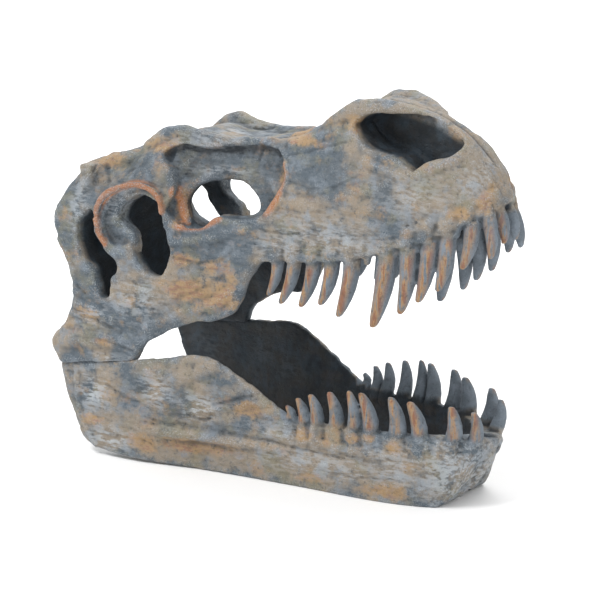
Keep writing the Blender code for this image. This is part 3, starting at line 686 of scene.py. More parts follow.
# Tool marks on the skull's sides: (depth, reach, path of (x, z) points). Depths above zero are raised.
SKULL_MARKS = [
    (-1.5, 2.4, [(9, 275), (-3, 268), (-14, 259), (-15, 250)]),
    (-1.4, 2.6, [(10, 264), (12, 263)]),
    (-1.6, 2.2, [(18, 258), (34, 262), (52, 268), (70, 273)]),
    (1.2, 6.0, [(14, 266), (34, 272), (58, 281)]),
    (1.6, 5.0, [(-73, 224), (-69, 210), (-65, 197)]),
    (1.8, 5.5, [(15, 250), (19, 238), (17, 226), (8, 213)]),
    (-1.8, 4.0, [(-121, 235), (-112, 240), (-103, 243)]),
    (1.8, 8.0, [(-152, 232), (-141, 241), (-129, 247)]),
    (-2.2, 3.2, [(-146, 236), (-140, 231), (-136, 226)]),
    (-1.8, 2.6, [(-158, 99), (-140, 100), (-122, 98), (-106, 92)]),
    (-1.2, 2.4, [(-166, 112), (-150, 116), (-132, 114), (-116, 106)]),
    (1.5, 7.0, [(-158, 126), (-140, 124), (-126, 116)]),
    (1.4, 7.0, [(-95, 112), (-78, 122), (-60, 130), (-40, 136), (-24, 148)]),
    (-1.3, 4.0, [(-88, 128), (-66, 140), (-46, 150), (-30, 160)]),
    (-1.2, 3.0, [(-70, 172), (-52, 168), (-34, 172), (-20, 182)]),
    (1.4, 6.0, [(-72, 186), (-52, 186), (-32, 194), (-10, 200)]),
    (-1.0, 2.2, [(-14, 206), (6, 200), (30, 200), (52, 206)]),
    (-0.9, 2.0, [(24, 240), (44, 236), (66, 240), (84, 250)]),
    (1.2, 7.0, [(22, 224), (50, 226), (80, 236), (108, 246)]),
    (1.3, 5.0, [(88, 262), (104, 256), (122, 252), (140, 258), (156, 266)]),
    (1.0, 4.0, [(167, 276), (174, 264), (181, 250)]),
    (-1.1, 2.4, [(-104, 150), (-96, 140), (-100, 128), (-112, 122)]),
    (1.4, 6.0, [(-124, 150), (-112, 144), (-98, 144), (-86, 140)]),
    (-1.4, 3.0, [(-168, 150), (-160, 142), (-150, 136)]),
    (1.3, 5.0, [(-176, 176), (-168, 164), (-162, 150), (-160, 136)]),
]

# Air holes that the casting left in the muzzle.
PINHOLES = [(-1.8, 1.7, [(127.7, 216.3), (128.2, 216.5)]), (-1.6, 1.5, [(134.1, 219.1), (134.6, 219.3)]),
            (-0.8, 1.5, [(111.6, 202.0), (112.2, 202.1)])]

# Edges picked out in a thin line of ochre: the eye's ring and the rims of the window before it.
RIM_LINES = [ORBIT_RING, [(-73, 225), (-70, 212), (-66, 198)], [(14, 250), (18, 238), (16, 226), (7, 213)],
             [(-66, 197), (-50, 198), (-34, 206)]]

# Tool marks on the lower jaw's sides.
JAW_MARKS = [
    (1.0, 6.0, [(-159, 33), (-137, 28), (-108, 24), (-82, 25), (-50, 28), (-13, 26)]),
    (1.2, 4.0, [(-163, 72), (-159, 40), (-156, 30), (-144, 8)]),
    (-1.6, 2.4, [(-59, 45), (-50, 42.5), (-44, 42.5), (-38, 46)]),
    (-1.4, 2.6, [(-36, 56), (-22, 61), (-8, 66), (5, 70)]),
    (1.0, 5.0, [(-40, 51), (-22, 56), (-4, 61), (8, 62)]),
    (-1.1, 3.0, [(-130, 62), (-112, 54), (-96, 50), (-80, 52)]),
    (1.3, 8.0, [(-90, 78), (-72, 74), (-56, 78), (-42, 84)]),
    (-1.0, 2.4, [(-94, 40), (-74, 36), (-60, 38)]),
    (-1.2, 2.4, [(-20, 34), (10, 33), (44, 30), (78, 28)]),
    (1.0, 5.0, [(10, 40), (44, 38), (80, 36), (112, 36)]),
    (-1.1, 2.2, [(56, 16), (86, 14), (116, 17), (140, 14)]),
    (1.3, 4.5, [(177, 41), (174, 27), (170, 14), (166, 2)]),
    (-1.0, 3.0, [(-170, 66), (-150, 70), (-128, 74)]),
]

# Tool marks on top of the skull, above the given height, as (x, y) paths.
ROOF_LOW = 225
ROOF_MARKS = [
    (-1.6, 3.0, [(176, 0), (150, 0), (118, 0), (84, 0), (50, 0), (12, 0), (-40, 0)]),
    (1.4, 5.0, [(84, 14), (60, 13), (34, 12), (4, 12)]),
    (-1.2, 2.4, [(70, 20), (44, 19), (16, 19), (-14, 20)]),
    (1.8, 6.0, [(-100, 0), (-120, 0), (-146, 0)]),
    (-1.4, 3.0, [(-46, 30), (-66, 26), (-88, 30)]),
]

# Where paint lies on the sides: (x, z, reach along x, reach along z, strength).
SKULL_OCHRE = [
    (-56, 146, 24, 12, 1.0), (-30, 146, 14, 16, 0.9), (-66, 168, 12, 9, 0.9), (-40, 166, 20, 9, 0.6),
    (-69, 210, 6, 18, 1.0), (14, 240, 6, 20, 0.9), (-142, 240, 16, 8, 0.9), (-160, 226, 9, 8, 0.5),
    (20, 270, 34, 6, 0.9), (74, 286, 20, 8, 0.6), (164, 228, 9, 7, 0.7), (180, 240, 6, 12, 0.8),
    (-148, 120, 16, 6, 0.7), (-134, 98, 12, 5, 0.9), (-108, 132, 10, 8, 0.5), (100, 262, 26, 6, 0.5),
    (60, 186, 30, 4, 0.5), (130, 210, 18, 5, 0.5), (40, 226, 26, 10, 0.35), (96, 222, 24, 9, 0.4),
    (-12, 196, 12, 8, 0.5), (-96, 256, 18, 6, 0.7), (-84, 178, 8, 18, 0.5), (150, 282, 14, 9, 0.4),
]
SKULL_CHALK = [
    (-102, 136, 18, 16, 0.6), (-142, 118, 18, 8, 0.6), (-114, 206, 18, 12, 0.5), (-40, 240, 22, 3, 0.5),
    (60, 200, 50, 14, 0.5), (-160, 210, 8, 18, 0.6), (130, 236, 24, 14, 0.4), (-60, 262, 26, 5, 0.4),
    (20, 190, 26, 10, 0.4), (170, 250, 10, 14, 0.4), (-128, 84, 12, 5, 0.5),
]
SKULL_BLUE = [
    (22, 262, 26, 18, 1.2), (50, 250, 28, 18, 1.3), (108, 232, 9, 18, 1.0), (70, 206, 40, 9, 0.5),
    (-70, 244, 14, 20, 1.0), (-40, 252, 34, 10, 1.0), (-5, 244, 18, 14, 0.9), (-160, 200, 12, 30, 0.5),
    (-96, 168, 14, 14, 0.6), (-50, 186, 34, 8, 0.6), (-120, 200, 14, 20, 0.6), (130, 222, 14, 12, 0.5),
]
# Painted shade: dark patches where the antorbital fossa, the eye socket and the temple lie in shade.
SKULL_PAINTED_SHADE = [
    (-72, 246, 10, 14, 1.0), (-46, 254, 34, 6, 0.9), (-66, 224, 6, 12, 0.6), (-152, 226, 16, 10, 0.6),
    (-164, 244, 14, 10, 0.5), (-8, 252, 14, 7, 0.6), (-50, 236, 30, 14, 0.5), (-118, 216, 14, 8, 0.5),
    (-112, 240, 12, 7, 0.5), (-60, 268, 24, 6, 0.3),
]
# Painted shade: dark patches on the jaw's sides.
JAW_PAINTED_SHADE = [
    (-104, 60, 16, 7, 0.4), (-60, 46, 14, 5, 0.5), (-170, 40, 8, 20, 0.3), (-10, 60, 14, 6, 0.4),
]
SKULL_WARM = [
    (136, 246, 34, 22, 1.0), (50, 214, 34, 14, 0.9), (168, 254, 20, 26, 1.1), (100, 296, 50, 9, 1.0),
    (86, 222, 18, 26, 0.8), (70, 196, 60, 10, 0.7), (150, 270, 30, 18, 0.9),
    (-52, 150, 40, 22, 0.7), (80, 290, 60, 12, 0.8), (-140, 240, 24, 14, 0.6), (-140, 108, 24, 14, 0.6),
    (-90, 258, 24, 8, 0.5), (20, 228, 22, 18, 0.6),
]
JAW_BLUE = [
    (-152, 52, 10, 10, 0.7), (-100, 66, 16, 10, 0.8), (-68, 54, 22, 12, 1.0), (-20, 62, 16, 6, 0.8),
    (-36, 36, 14, 8, 0.7), (20, 50, 20, 6, 0.7), (70, 44, 60, 6, 0.6), (60, 12, 30, 6, 0.4),
    (140, 20, 14, 18, 0.4), (110, 30, 16, 8, 0.4),
]
JAW_WARM = [
    (-120, 26, 56, 18, 1.1), (-40, 18, 80, 14, 1.2), (40, 22, 70, 20, 1.1), (120, 26, 60, 24, 0.8),
    (-126, 56, 12, 24, 1.1), (-166, 62, 14, 18, 0.7), (-60, 82, 40, 8, 0.6), (-30, 48, 24, 8, 0.6),
    (-90, 78, 30, 8, 0.5),
]
JAW_OCHRE = [
    (-144, 31, 14, 5, 1.0), (-98, 18, 16, 8, 1.0), (-50, 20, 40, 7, 1.0), (-6, 56, 12, 7, 0.9),
    (42, 43, 10, 6, 0.9), (63, 42, 9, 7, 0.8), (84, 45, 7, 5, 0.8), (100, 47, 7, 5, 0.8),
    (118, 42, 7, 6, 0.8), (113, 8, 22, 7, 0.9), (46, 8, 18, 5, 0.8), (10, 28, 26, 8, 0.5),
    (80, 24, 30, 6, 0.35), (-168, 56, 5, 14, 0.5), (150, 30, 12, 14, 0.35),
]
JAW_CHALK = [
    (-144, 54, 13, 14, 0.9), (-85, 62, 12, 12, 0.8), (-50, 52, 14, 9, 0.9), (-128, 16, 18, 10, 0.9),
    (160, 24, 22, 26, 0.7), (60, 20, 60, 10, 0.5), (20, 40, 26, 9, 0.4), (120, 28, 24, 16, 0.5),
]
# Patch layers by colour; the wash layer is painted shade in the recesses.
SKULL_PAINT = {"ochre": SKULL_OCHRE, "chalk": SKULL_CHALK, "blue": SKULL_BLUE, "warm": SKULL_WARM,
               "wash_and_shade": SKULL_PAINTED_SHADE}
JAW_PAINT = {"ochre": JAW_OCHRE, "chalk": JAW_CHALK, "blue": JAW_BLUE, "warm": JAW_WARM, "wash_and_shade": JAW_PAINTED_SHADE}

# Where the painted shade inside the skull starts deeper than elsewhere: (x from, x to, z from, z to, depth).
DEEP_STARTS = [(-84, 22, 194, 264, 11.0), (-136, -104, 172, 226, 15.0)]

GROOVE_SHARE = 0.45  # how much of its depth a long groove keeps

# The cast's own texture: (height, size) of its broad lumps, its drawn-out grain and its pits.
LUMPS, GRAIN, PITS = (0.8, 15.0), (0.22, 3.6), (0.25, 2.6)


def reach_of(points, path):
    """How far each point lies from a broken line, both in the same two coordinates."""
    nearest = np.full(len(points), np.inf)
    for a, b in zip(path, path[1:] if len(path) > 1 else path):
        a, b = np.array(a, float), np.array(b, float)
        along = b - a
        share = np.clip(((points - a) @ along) / max(along @ along, 1e-9), 0, 1)
        nearest = np.minimum(nearest, np.linalg.norm(points - (a + share[:, None] * along), axis=1))
    return nearest


def press(offsets, places, path, depth, reach, allowed):
    """Adds one soft-edged tool mark to the offsets of the allowed points."""
    low = np.min(path, axis=0) - reach
    high = np.max(path, axis=0) + reach
    near = allowed & np.all((places > low) & (places < high), axis=1)
    if near.any():
        away = np.clip(reach_of(places[near], path) / reach, 0, 1)
        offsets[near] += depth * (1 - away ** 2) ** 2


class Skin:
    """A fine mesh held as arrays in millimetres, so that marks and paint can be laid on it."""

    def __init__(self, obj, half_width):
        self.obj = obj
        self.mesh = obj.data
        count = len(self.mesh.vertices)
        self.places = np.empty(count * 3)
        self.mesh.vertices.foreach_get("co", self.places)
        self.places = self.places.reshape(-1, 3) / MM
        self.edges = np.empty(len(self.mesh.edges) * 2, np.int64)
        self.mesh.edges.foreach_get("vertices", self.edges)
        self.edges = self.edges.reshape(-1, 2)
        self.half_width = np.interp(self.places[:, 0], np.arange(-200, 201, 2),
                                    [half_width(x) for x in range(-200, 201, 2)])
        self.read_normals()

    def read_normals(self):
        self.normals = np.empty(len(self.mesh.vertices) * 3)
        self.mesh.vertex_normals.foreach_get("vector", self.normals)
        self.normals = self.normals.reshape(-1, 3)

    def side(self):
        """The points on the outer faces of the right and left walls."""
        facing = self.normals[:, 1] * np.sign(self.places[:, 1])
        return (facing > 0.2) & (np.abs(self.places[:, 1]) > self.half_width * 0.45)

    def push(self, offsets):
        self.places += self.normals * offsets[:, None]
        self.mesh.vertices.foreach_set("co", (self.places * MM).ravel())
        self.mesh.update()
        self.read_normals()

    def averaged(self, values, rounds):
        """Values smoothed over neighbouring points."""
        count = len(self.places)
        ends, starts = self.edges[:, 0], self.edges[:, 1]
        share = np.bincount(ends, minlength=count) + np.bincount(starts, minlength=count)
        share = np.maximum(share, 1)
        values = np.array(values, float)
        columns = values.reshape(count, -1)
        for _ in range(rounds):
            for column in range(columns.shape[1]):
                v = columns[:, column]
                total = np.bincount(ends, v[starts], count) + np.bincount(starts, v[ends], count)
                columns[:, column] = total / share
        return columns.reshape(values.shape)

    def relief(self, rounds):
        """How far each point stands above the smoothed skin, in millimetres."""
        return np.sum((self.places - self.averaged(self.places, rounds)) * self.normals, axis=1)

    def keep(self, name, values):
        stored = self.mesh.attributes.new(name, "FLOAT", "POINT")
        stored.data.foreach_set("value", np.clip(values, 0, 1).astype(np.float32))


def lumps(places, size, octaves, seed):
    """Cloudy noise at the given size in millimetres, from about -1 to 1."""
    shift = Vector((seed * 17.3, seed * 5.1, seed * 9.7))
    scale = 1 / size
    return np.array([noise.fractal(Vector(p) * scale + shift, 0.9, 2.1, octaves) for p in places.tolist()])


def grain_marks(count, low, high, seed):
    """Short carved grooves that run mostly along the bone, as (depth, reach, path)."""
    rng = np.random.default_rng(seed)
    marks = []
    for _ in range(count):
        x, z = rng.uniform(low[0], high[0]), rng.uniform(low[1], high[1])
        length, slope = rng.uniform(8, 30), rng.uniform(-0.45, 0.45)
        bend = rng.uniform(-2, 2)
        path = [(x, z), (x + length / 2, z + slope * length / 2 + bend), (x + length, z + slope * length)]
        marks.append((rng.uniform(-0.35, -0.12), rng.uniform(1.2, 2.0), path))
    return marks


def gum_marks(rows, line, rise):
    """A swelling over each root and a notch between each pair, as (depth, reach, path)."""
    marks = []
    for i, row in enumerate(rows):
        x = row[0]
        marks.append((1.1, 6.0, [(x, line(x) + 2 * rise), (x + 2, line(x) + 15 * rise)]))
        if i:
            between = (x + rows[i - 1][0]) / 2
            marks.append((-1.0, 3.4, [(between, line(between)), (between + 1, line(between) + 9 * rise)]))
    return marks


def tooth_paint(places, ends):
    """Which points belong to teeth, softly edged, and a streak: 1 down the middle of each outer face."""
    mine, streak = np.zeros(len(places)), np.zeros(len(places))
    mirrored = places * (1, -1, 1)
    for root, tip, radius in ends:
        root, axis = np.array(root), np.array(tip) - np.array(root)
        outward = np.array([root[0] * 0.004 + 0.2, -1.0, 0.0])
        outward /= np.linalg.norm(outward)
        for where in (places, mirrored):
            share = ((where - root) @ axis) / (axis @ axis)
            beside = np.linalg.norm(where - root - np.clip(share, 0, 1)[:, None] * axis, axis=1)
            hit = np.clip((radius * 1.35 + 2.0 - beside) / 1.5, 0, 1) * np.clip((share - 0.08) / 0.14, 0, 1)
            mine = np.maximum(mine, hit)
            away = where - root - share[:, None] * axis
            near = (np.linalg.norm(away, axis=1) < radius * 1.4 + 2) & (share > 0.05) & (share < 1.1)
            across = np.linalg.norm(away - (away @ outward)[:, None] * outward, axis=1) / radius
            face = np.clip(1.15 - across * 1.5, 0, 1) * ((away @ outward) > 0)
            streak = np.where(near, np.maximum(streak, face), streak)
    return mine, streak


def patches(skin, rows):
    """Paint strength at each point from soft oval patches seen from the side."""
    total = np.zeros(len(skin.places))
    for x, z, reach_x, reach_z, strength in rows:
        d = ((skin.places[:, 0] - x) / reach_x) ** 2 + ((skin.places[:, 2] - z) / reach_z) ** 2
        total = np.maximum(total, strength * np.exp(-0.8 * d))
    return total


def lay_marks(skin, side_marks, roof_marks=()):
    """Presses every mark into the skin at once, the long grooves shallower than the swellings."""
    offsets = np.zeros(len(skin.places))
    side = skin.side()
    for depth, reach, path in side_marks:
        shallow = GROOVE_SHARE if depth < 0 and len(path) > 2 else 1.0
        press(offsets, skin.places[:, [0, 2]], path, depth * shallow, reach, side)
    if roof_marks:
        top = skin.normals[:, 2] > 0.45
        flat = np.column_stack([skin.places[:, 0], np.abs(skin.places[:, 1])])
        for depth, reach, path in roof_marks:
            press(offsets, flat, path, depth, reach, top & (skin.places[:, 2] > ROOF_LOW))
    return offsets


def bone_texture(skin, teeth_mask, seed):
    """Uneven modelling: broad lumps, drawn-out grain and a fine pitting, gentler on the teeth."""
    places = skin.places
    drawn_out = places * (0.28, 1.0, 1.0)
    offsets = LUMPS[0] * lumps(places, LUMPS[1], 3, seed)
    offsets += GRAIN[0] * lumps(drawn_out, GRAIN[1], 3, seed + 1)
    offsets -= PITS[0] * np.clip(lumps(places, PITS[1], 2, seed + 2) - 0.25, 0, 1)
    return offsets * (1 - 0.85 * teeth_mask)


def cast_skull():
    skin = Skin(build_skull(), side_half)
    teeth_mask, _ = tooth_paint(skin.places, upper_tooth_ends())
    marks = SKULL_MARKS + gum_marks(UPPER_TEETH, gum_z, 1)
    marks += grain_marks(60, (-175, 90), (180, 285), 5) + PINHOLES
    skin.push(lay_marks(skin, marks, ROOF_MARKS) * (1 - teeth_mask) + bone_texture(skin, teeth_mask, 2))
    paint(skin, SKULL_PAINT, upper_tooth_ends(), skull_painted_shade(skin))
    return skin.obj


def floor_height(x):
    """Height of the shelf under the profile before it is turned to stand level."""
    tilt = math.radians(REST_TILT)
    return -(PROFILE_TO_FRAME[2] + x * math.sin(tilt)) / math.cos(tilt)


def cast_jaw():
    skin = Skin(build_jaw(), jaw_half)
    teeth_mask, _ = tooth_paint(skin.places, lower_tooth_ends())
    marks = JAW_MARKS + gum_marks(LOWER_TEETH, lambda x: 50, -1)
    marks += grain_marks(30, (-175, 4), (170, 80), 15)
    offsets = lay_marks(skin, marks) * (1 - teeth_mask) + bone_texture(skin, teeth_mask, 12)
    ground = floor_height(skin.places[:, 0])
    offsets *= np.clip((skin.places[:, 2] - ground - 0.5) / 2.5, 0, 1)
    skin.push(offsets)
    skin.places[:, 2] = np.maximum(skin.places[:, 2], floor_height(skin.places[:, 0]))
    skin.push(np.zeros(len(skin.places)))
    # Painted shade on the jaw's inner faces, which lie in shade.
    facing = skin.normals[:, 1] * np.sign(skin.places[:, 1])
    inner = np.clip(-facing * 2, 0, 1) * (np.abs(skin.places[:, 1]) < skin.half_width - 5)
    paint(skin, JAW_PAINT, lower_tooth_ends(), inner * 0.9)
    return skin.obj


def depth_below_walls(skin):
    """How deep each point lies below the skull's outer faces, in millimetres."""
    xs, zs = np.arange(-200.0, 201.0, 4.0), np.arange(40.0, 321.0, 4.0)
    walls = np.array([[wall_y(x, z) for z in zs] for x in xs])
    roofs = np.array([roof_z(x) for x in xs])
    column = np.clip((skin.places[:, 0] - xs[0]) / 4.0, 0, len(xs) - 1.001)
    row = np.clip((skin.places[:, 2] - zs[0]) / 4.0, 0, len(zs) - 1.001)
    c, r = column.astype(int), row.astype(int)
    u, v = column - c, row - r
    wall = ((walls[c, r] * (1 - u) + walls[c + 1, r] * u) * (1 - v)
            + (walls[c, r + 1] * (1 - u) + walls[c + 1, r + 1] * u) * v)
    roof = roofs[c] * (1 - u) + roofs[c + 1] * u
    return np.minimum(wall - np.abs(skin.places[:, 1]), roof - skin.places[:, 2])


def skull_painted_shade(skin):
    """Painted shade: 1 on the faces deep in the skull's hollow, its windows or the mouth."""
    x, _, z = skin.places.T
    start = np.full(len(x), 4.5)
    for x_from, x_to, z_from, z_to, depth in DEEP_STARTS:
        start[(x > x_from) & (x < x_to) & (z > z_from) & (z < z_to)] = depth
    nose = (x > 64) & (x < 160) & (z > 245)
    return np.clip((depth_below_walls(skin) - start) / 6.0, 0, 1) * np.where(nose, 0.94, 0.98)


def rim_paint(skin):
    """1 along the edges that carry a thin line of ochre."""
    rim = np.zeros(len(skin.places))
    side = skin.side()
    flat = skin.places[:, [0, 2]]
    for path in RIM_LINES:
        smooth = smooth_path(path)
        rim[side] = np.maximum(rim[side], np.clip(1.6 - reach_of(flat[side], smooth) / 2.4, 0, 1))
    return rim


def paint(skin, rows_of, ends, inside):
    """Stores where each paint lies: the patches of each colour, painted shade in the hollows, rim, teeth and
    relief.
    """
    teeth_mask, streak = tooth_paint(skin.places, ends)
    for colour, rows in rows_of.items():
        skin.keep(colour, patches(skin, rows) * (1 - teeth_mask))
    # Painted shade: the hollow layer darkens the inner faces that lie in shade.
    skin.keep("hollow", inside * (1 - teeth_mask))
    skin.keep("rim", rim_paint(skin) * (1 - teeth_mask))
    skin.keep("tooth", teeth_mask)
    skin.keep("tooth_streak", streak)
    fine, broad = skin.relief(5), skin.relief(40)
    skin.keep("raised", np.clip(fine / 0.25, 0, 1) * 0.6 + np.clip(broad / 1.2, 0, 1) * 0.6)
    # The sunk layer carries the dark wash and painted shade in creases.
    skin.keep("sunk", np.clip(-fine / 0.34, 0, 1) * 0.6 + np.clip(-broad / 1.3, 0, 1) * 0.6)


# Paint ----------------------------------------------------------------------------------------

def linear(hex_colour):
    """A screen colour such as "#a19c97" as linear red, green, blue and alpha."""
    parts = [int(hex_colour[i:i + 2], 16) / 255 for i in (1, 3, 5)]
    return (*[p / 12.92 if p <= 0.04045 else ((p + 0.055) / 1.055) ** 2.4 for p in parts], 1.0)


SOFT = {"interpolation_type": "SMOOTHSTEP"}
OVER = {"data_type": "RGBA"}
PLUS, TIMES, TIMES_PLUS, GREATER = ({"operation": word} for word in
                                    ("ADD", "MULTIPLY", "MULTIPLY_ADD", "MAXIMUM"))


def add(tree, kind, settings, *inputs, output=None, **named):
    """Adds a node, sets it, fills or links its usable inputs in order or by name, and gives an output."""
    node = tree.nodes.new("ShaderNode" + kind)
    for key, value in settings.items():
        setattr(node, key, value)
    filled = list(zip([socket for socket in node.inputs if socket.enabled], inputs))
    for socket, value in filled + [(node.inputs[key], value) for key, value in named.items()]:
        if isinstance(value, bpy.types.NodeSocket):
            tree.links.new(value, socket)
        else:
            socket.default_value = value
    return node.outputs[output] if output else next(socket for socket in node.outputs if socket.enabled)


def new_material(name):
    """A material with its node tree and its Principled shader."""
    material = bpy.data.materials.new(name)
    material.use_nodes = True
    return material, material.node_tree, material.node_tree.nodes["Principled BSDF"]


def painted_resin():
    """Cast resin under matt acrylics: a dark wash and painted shade settle in the carving and the ridges are
    dry-brushed, so the eye reads old bone; the dull, slightly uneven sheen gives the paint away."""
    material, tree, shader = new_material("painted_cast_resin")
    place = add(tree, "TexCoord", {}, output="Object")
    drawn, upright = (add(tree, "Mapping", {}, place, Scale=scale) for scale in ((0.25, 1, 1), (1, 1, 0.16)))
    laid = {name: add(tree, "Attribute", {"attribute_name": name}, output="Fac")
            for name in ("ochre", "chalk", "blue", "warm", "wash_and_shade", "hollow", "rim", "tooth", "tooth_streak",
                         "raised", "sunk")}
    # Clouds of (place, feature size in millimetres, detail, roughness).
    broad, middle, fine, speck, grain, blots, mossy, strays, brushed = (
        add(tree, "TexNoise", {}, where, 1 / (size * MM), detail, rough)
        for where, size, detail, rough in (
            (place, 42, 3, 0.55), (place, 13, 5, 0.62), (place, 3.2, 6, 0.65), (place, 0.9, 4, 0.6),
            (drawn, 2.6, 5, 0.6), (place, 16, 3, 0.55), (place, 23, 5, 0.62), (place, 19, 6, 0.66),
            (upright, 3.0, 3, 0.5)))

    # Ground coats of slate and bone grey, with pale and mossy clouds. The blots break every patch's edge.
    broken = add(tree, "Math", TIMES_PLUS, blots, 1.8, add(tree, "Math", TIMES_PLUS, fine, 0.9, -1.35))
    warm, blue = (add(tree, "Math", PLUS, laid[name], broken) for name in ("warm", "blue"))
    warm = add(tree, "MapRange", SOFT, warm, 0.15, 0.75, 0.0, 0.9)
    blue = add(tree, "MapRange", SOFT, blue, 0.25, 0.85, 0.0, 0.9)
    warm = add(tree, "Math", GREATER, warm, add(tree, "MapRange", SOFT, broad, 0.48, 0.62))
    pale = add(tree, "MapRange", SOFT, middle, 0.5, 0.66, 0.0, 0.65)
    moss = add(tree, "MapRange", SOFT, mossy, 0.5, 0.66, 0.0, 0.6)
    base = linear(SLATE)
    for share, colour in ((warm, BONE_GREY), (blue, SLATE), (pale, PALE_SLATE), (moss, KHAKI)):
        base = add(tree, "Mix", OVER, share, base, linear(colour))

    # Ochre in patches and strays, streaked with rust, and thin lines along the rims.
    ochre = add(tree, "Math", TIMES_PLUS, broken, 0.85, laid["ochre"])
    ochre = add(tree, "Math", GREATER, add(tree, "MapRange", SOFT, ochre, 0.3, 0.85, 0.0, 0.9),
                add(tree, "MapRange", SOFT, strays, 0.55, 0.7, 0.0, 0.55))
    streaks = add(tree, "Math", TIMES_PLUS, grain, 0.6, add(tree, "Math", TIMES, middle, 0.5))
    streaks = add(tree, "MapRange", SOFT, streaks, 0.52, 0.68, 0.0, 0.8)
    rim = add(tree, "Math", TIMES, laid["rim"], add(tree, "MapRange", SOFT, middle, 0.25, 0.5, 0.0, 0.9))
    base = add(tree, "Mix", OVER, ochre, base, add(tree, "Mix", OVER, streaks, linear(OCHRE), linear(RUST)))
    base = add(tree, "Mix", OVER, rim, base, linear(RIM))

    # Teeth in slate, with upright brush strokes of ochre on their outer faces.
    strokes = add(tree, "Math", TIMES, laid["tooth_streak"],
                  add(tree, "MapRange", SOFT, brushed, 0.34, 0.52, 0.0, 0.92))
    stroke_colour = add(tree, "Mix", OVER, add(tree, "MapRange", SOFT, brushed, 0.5, 0.6),
                        linear(TOOTH_OCHRE), linear(RUST))
    enamel = add(tree, "Mix", OVER, add(tree, "MapRange", SOFT, middle, 0.4, 0.66),
                 linear(TOOTH_SLATE), linear(PALE_SLATE))
    enamel = add(tree, "Mix", OVER, strokes, enamel, stroke_colour)
    base = add(tree, "Mix", OVER, laid["tooth"], base, enamel)

    # Dark wash and painted shade in what is sunk, chalky scumble and dry-brushed dust on what is raised, less
    # on teeth.
    wash_and_shade = add(tree, "Math", PLUS, laid["sunk"], add(tree, "MapRange", SOFT, fine, 0.47, 0.3, 0.0, 0.7))
    wash_and_shade = add(tree, "Math", TIMES_PLUS, laid["wash_and_shade"], 0.85, wash_and_shade)
    base = add(tree, "Mix", OVER, add(tree, "Math", TIMES, wash_and_shade, 0.62), base, linear(WASH_AND_SHADE))
    scrubbed = add(tree, "Math", TIMES_PLUS, middle, 0.6, grain)
    scumble = add(tree, "Math", TIMES, add(tree, "Math", PLUS, laid["chalk"], 0.06),
                  add(tree, "MapRange", SOFT, scrubbed, 0.7, 0.9, 0.0, 0.75))
    dust = add(tree, "Math", TIMES_PLUS, add(tree, "Math", PLUS, laid["raised"], 0.1),
               add(tree, "MapRange", SOFT, speck, 0.5, 0.66, 0.0, 0.42), scumble)
    dust = add(tree, "Math", TIMES, dust, add(tree, "Math", TIMES_PLUS, laid["tooth"], -0.85, 1.0))
    base = add(tree, "Mix", OVER, dust, base, linear(CHALK))

    # Near-black painted shade inside the hollows.
    unlit = add(tree, "Mix", OVER, add(tree, "MapRange", SOFT, middle, 0.4, 0.68),
                linear(PAINTED_SHADE), linear(PALE_PAINTED_SHADE))
    base = add(tree, "Mix", OVER, laid["hollow"], base, unlit)
    tree.links.new(base, shader.inputs["Base Color"])
    tree.links.new(add(tree, "MapRange", {}, middle, 0.0, 1.0, 0.55, 0.85), shader.inputs["Roughness"])

    # Pores 3 mm apart, grain and speckle as fine relief.
    pores = add(tree, "MapRange", SOFT, add(tree, "TexVoronoi", {}, Vector=place, Scale=1 / (3.0 * MM)),
                0.05, 0.32, 0.0, 0.3)
    height = add(tree, "Math", TIMES_PLUS, fine, 0.55, pores)
    for part, share in ((grain, 0.5), (speck, 0.22)):
        height = add(tree, "Math", TIMES_PLUS, part, share, height)
    bump = add(tree, "Bump", {}, Height=height, Strength=0.9, Distance=1.4 * MM)
    tree.links.new(bump, shader.inputs["Normal"])
    return material


# Floor, light and camera ----------------------------------------------------------------------

# The camera before the profile is turned: degrees, metres, and millimetres of focal length.
AZIMUTH, ELEVATION, DISTANCE, LENS = 34.0, 13.8, 1.84, 138.0
LOOKED_AT = (0.0, 0.0, 0.1325)

# Soft lights: (name, place, what it points at, width in metres, watts).
MIDDLE = (0, 0, 0.15)
LIGHTS = [("key", (-0.6, -1.0, 1.9), MIDDLE, 0.8, 27), ("fill", (1.4, -0.9, 0.9), MIDDLE, 1.2, 5),
          ("rim", (0.3, 1.3, 1.6), MIDDLE, 1.0, 8), ("backdrop", (-1.5, 2.2, 2.1), (-1.5, 2.2, 0), 2.6, 70)]
SKY = 0.68  # strength of the even white light from all round


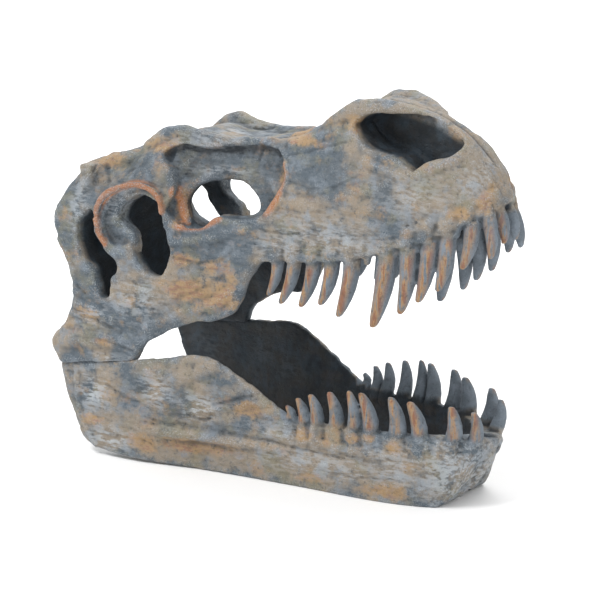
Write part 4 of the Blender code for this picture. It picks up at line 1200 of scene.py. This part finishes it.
def lay_floor():
    """Matt white board, far wider than the view, just below the jaw: it takes shadows and shows no gloss."""
    deselect_all()
    bpy.ops.mesh.primitive_grid_add(x_subdivisions=2, y_subdivisions=2, size=12.0, location=(0, 0, -0.0002))
    floor = bpy.context.object
    floor.name = "studio_floor"
    material, tree, shader = new_material("matt_white_board")
    faint = add(tree, "TexNoise", {}, add(tree, "TexCoord", {}, output="Object"), 1 / (400 * MM), 2, 0.55)
    faint = add(tree, "Math", TIMES, faint, 0.05)
    tree.links.new(add(tree, "Mix", OVER, faint, linear(FLOOR), linear(FLOOR_SPECK)),
                   shader.inputs["Base Color"])
    shader.inputs["Roughness"].default_value = 0.9
    floor.data.materials.append(material)


def area_light(name, place, target, size, watts):
    light = bpy.data.lights.new(name, "AREA")
    light.shape = "SQUARE"
    light.size = size
    light.energy = watts
    made = bpy.data.objects.new(name, light)
    made.location = place
    made.rotation_euler = (Vector(target) - Vector(place)).to_track_quat("-Z", "Y").to_euler()
    bpy.context.collection.objects.link(made)


def light_studio():
    world = bpy.data.worlds.new("studio")
    bpy.context.scene.world = world
    world.use_nodes = True
    background = world.node_tree.nodes["Background"]
    background.inputs["Color"].default_value = (1.0, 1.0, 1.0, 1.0)
    background.inputs["Strength"].default_value = SKY
    for light in LIGHTS:
        area_light(*light)
    bpy.context.scene.view_settings.view_transform = "Standard"


def set_camera():
    azimuth, elevation = math.radians(AZIMUTH), math.radians(ELEVATION)
    target = Vector(LOOKED_AT)
    away = Vector((math.sin(azimuth) * math.cos(elevation), -math.cos(azimuth) * math.cos(elevation),
                   math.sin(elevation)))
    camera = bpy.data.cameras.new("camera")
    camera.lens = LENS
    camera.sensor_width = 36.0
    camera.clip_end = 50.0
    made = bpy.data.objects.new("camera", camera)
    aim = (-away).to_track_quat("-Z", "Y").to_matrix().to_4x4()
    made.matrix_world = TO_FRAME @ Matrix.Translation(target + away * DISTANCE) @ aim
    bpy.context.collection.objects.link(made)
    bpy.context.scene.camera = made


resin = painted_resin()
divide(cast_skull(), SKULL_CELLS, resin)
divide(cast_jaw(), JAW_CELLS, resin)
lay_floor()
light_studio()
set_camera()
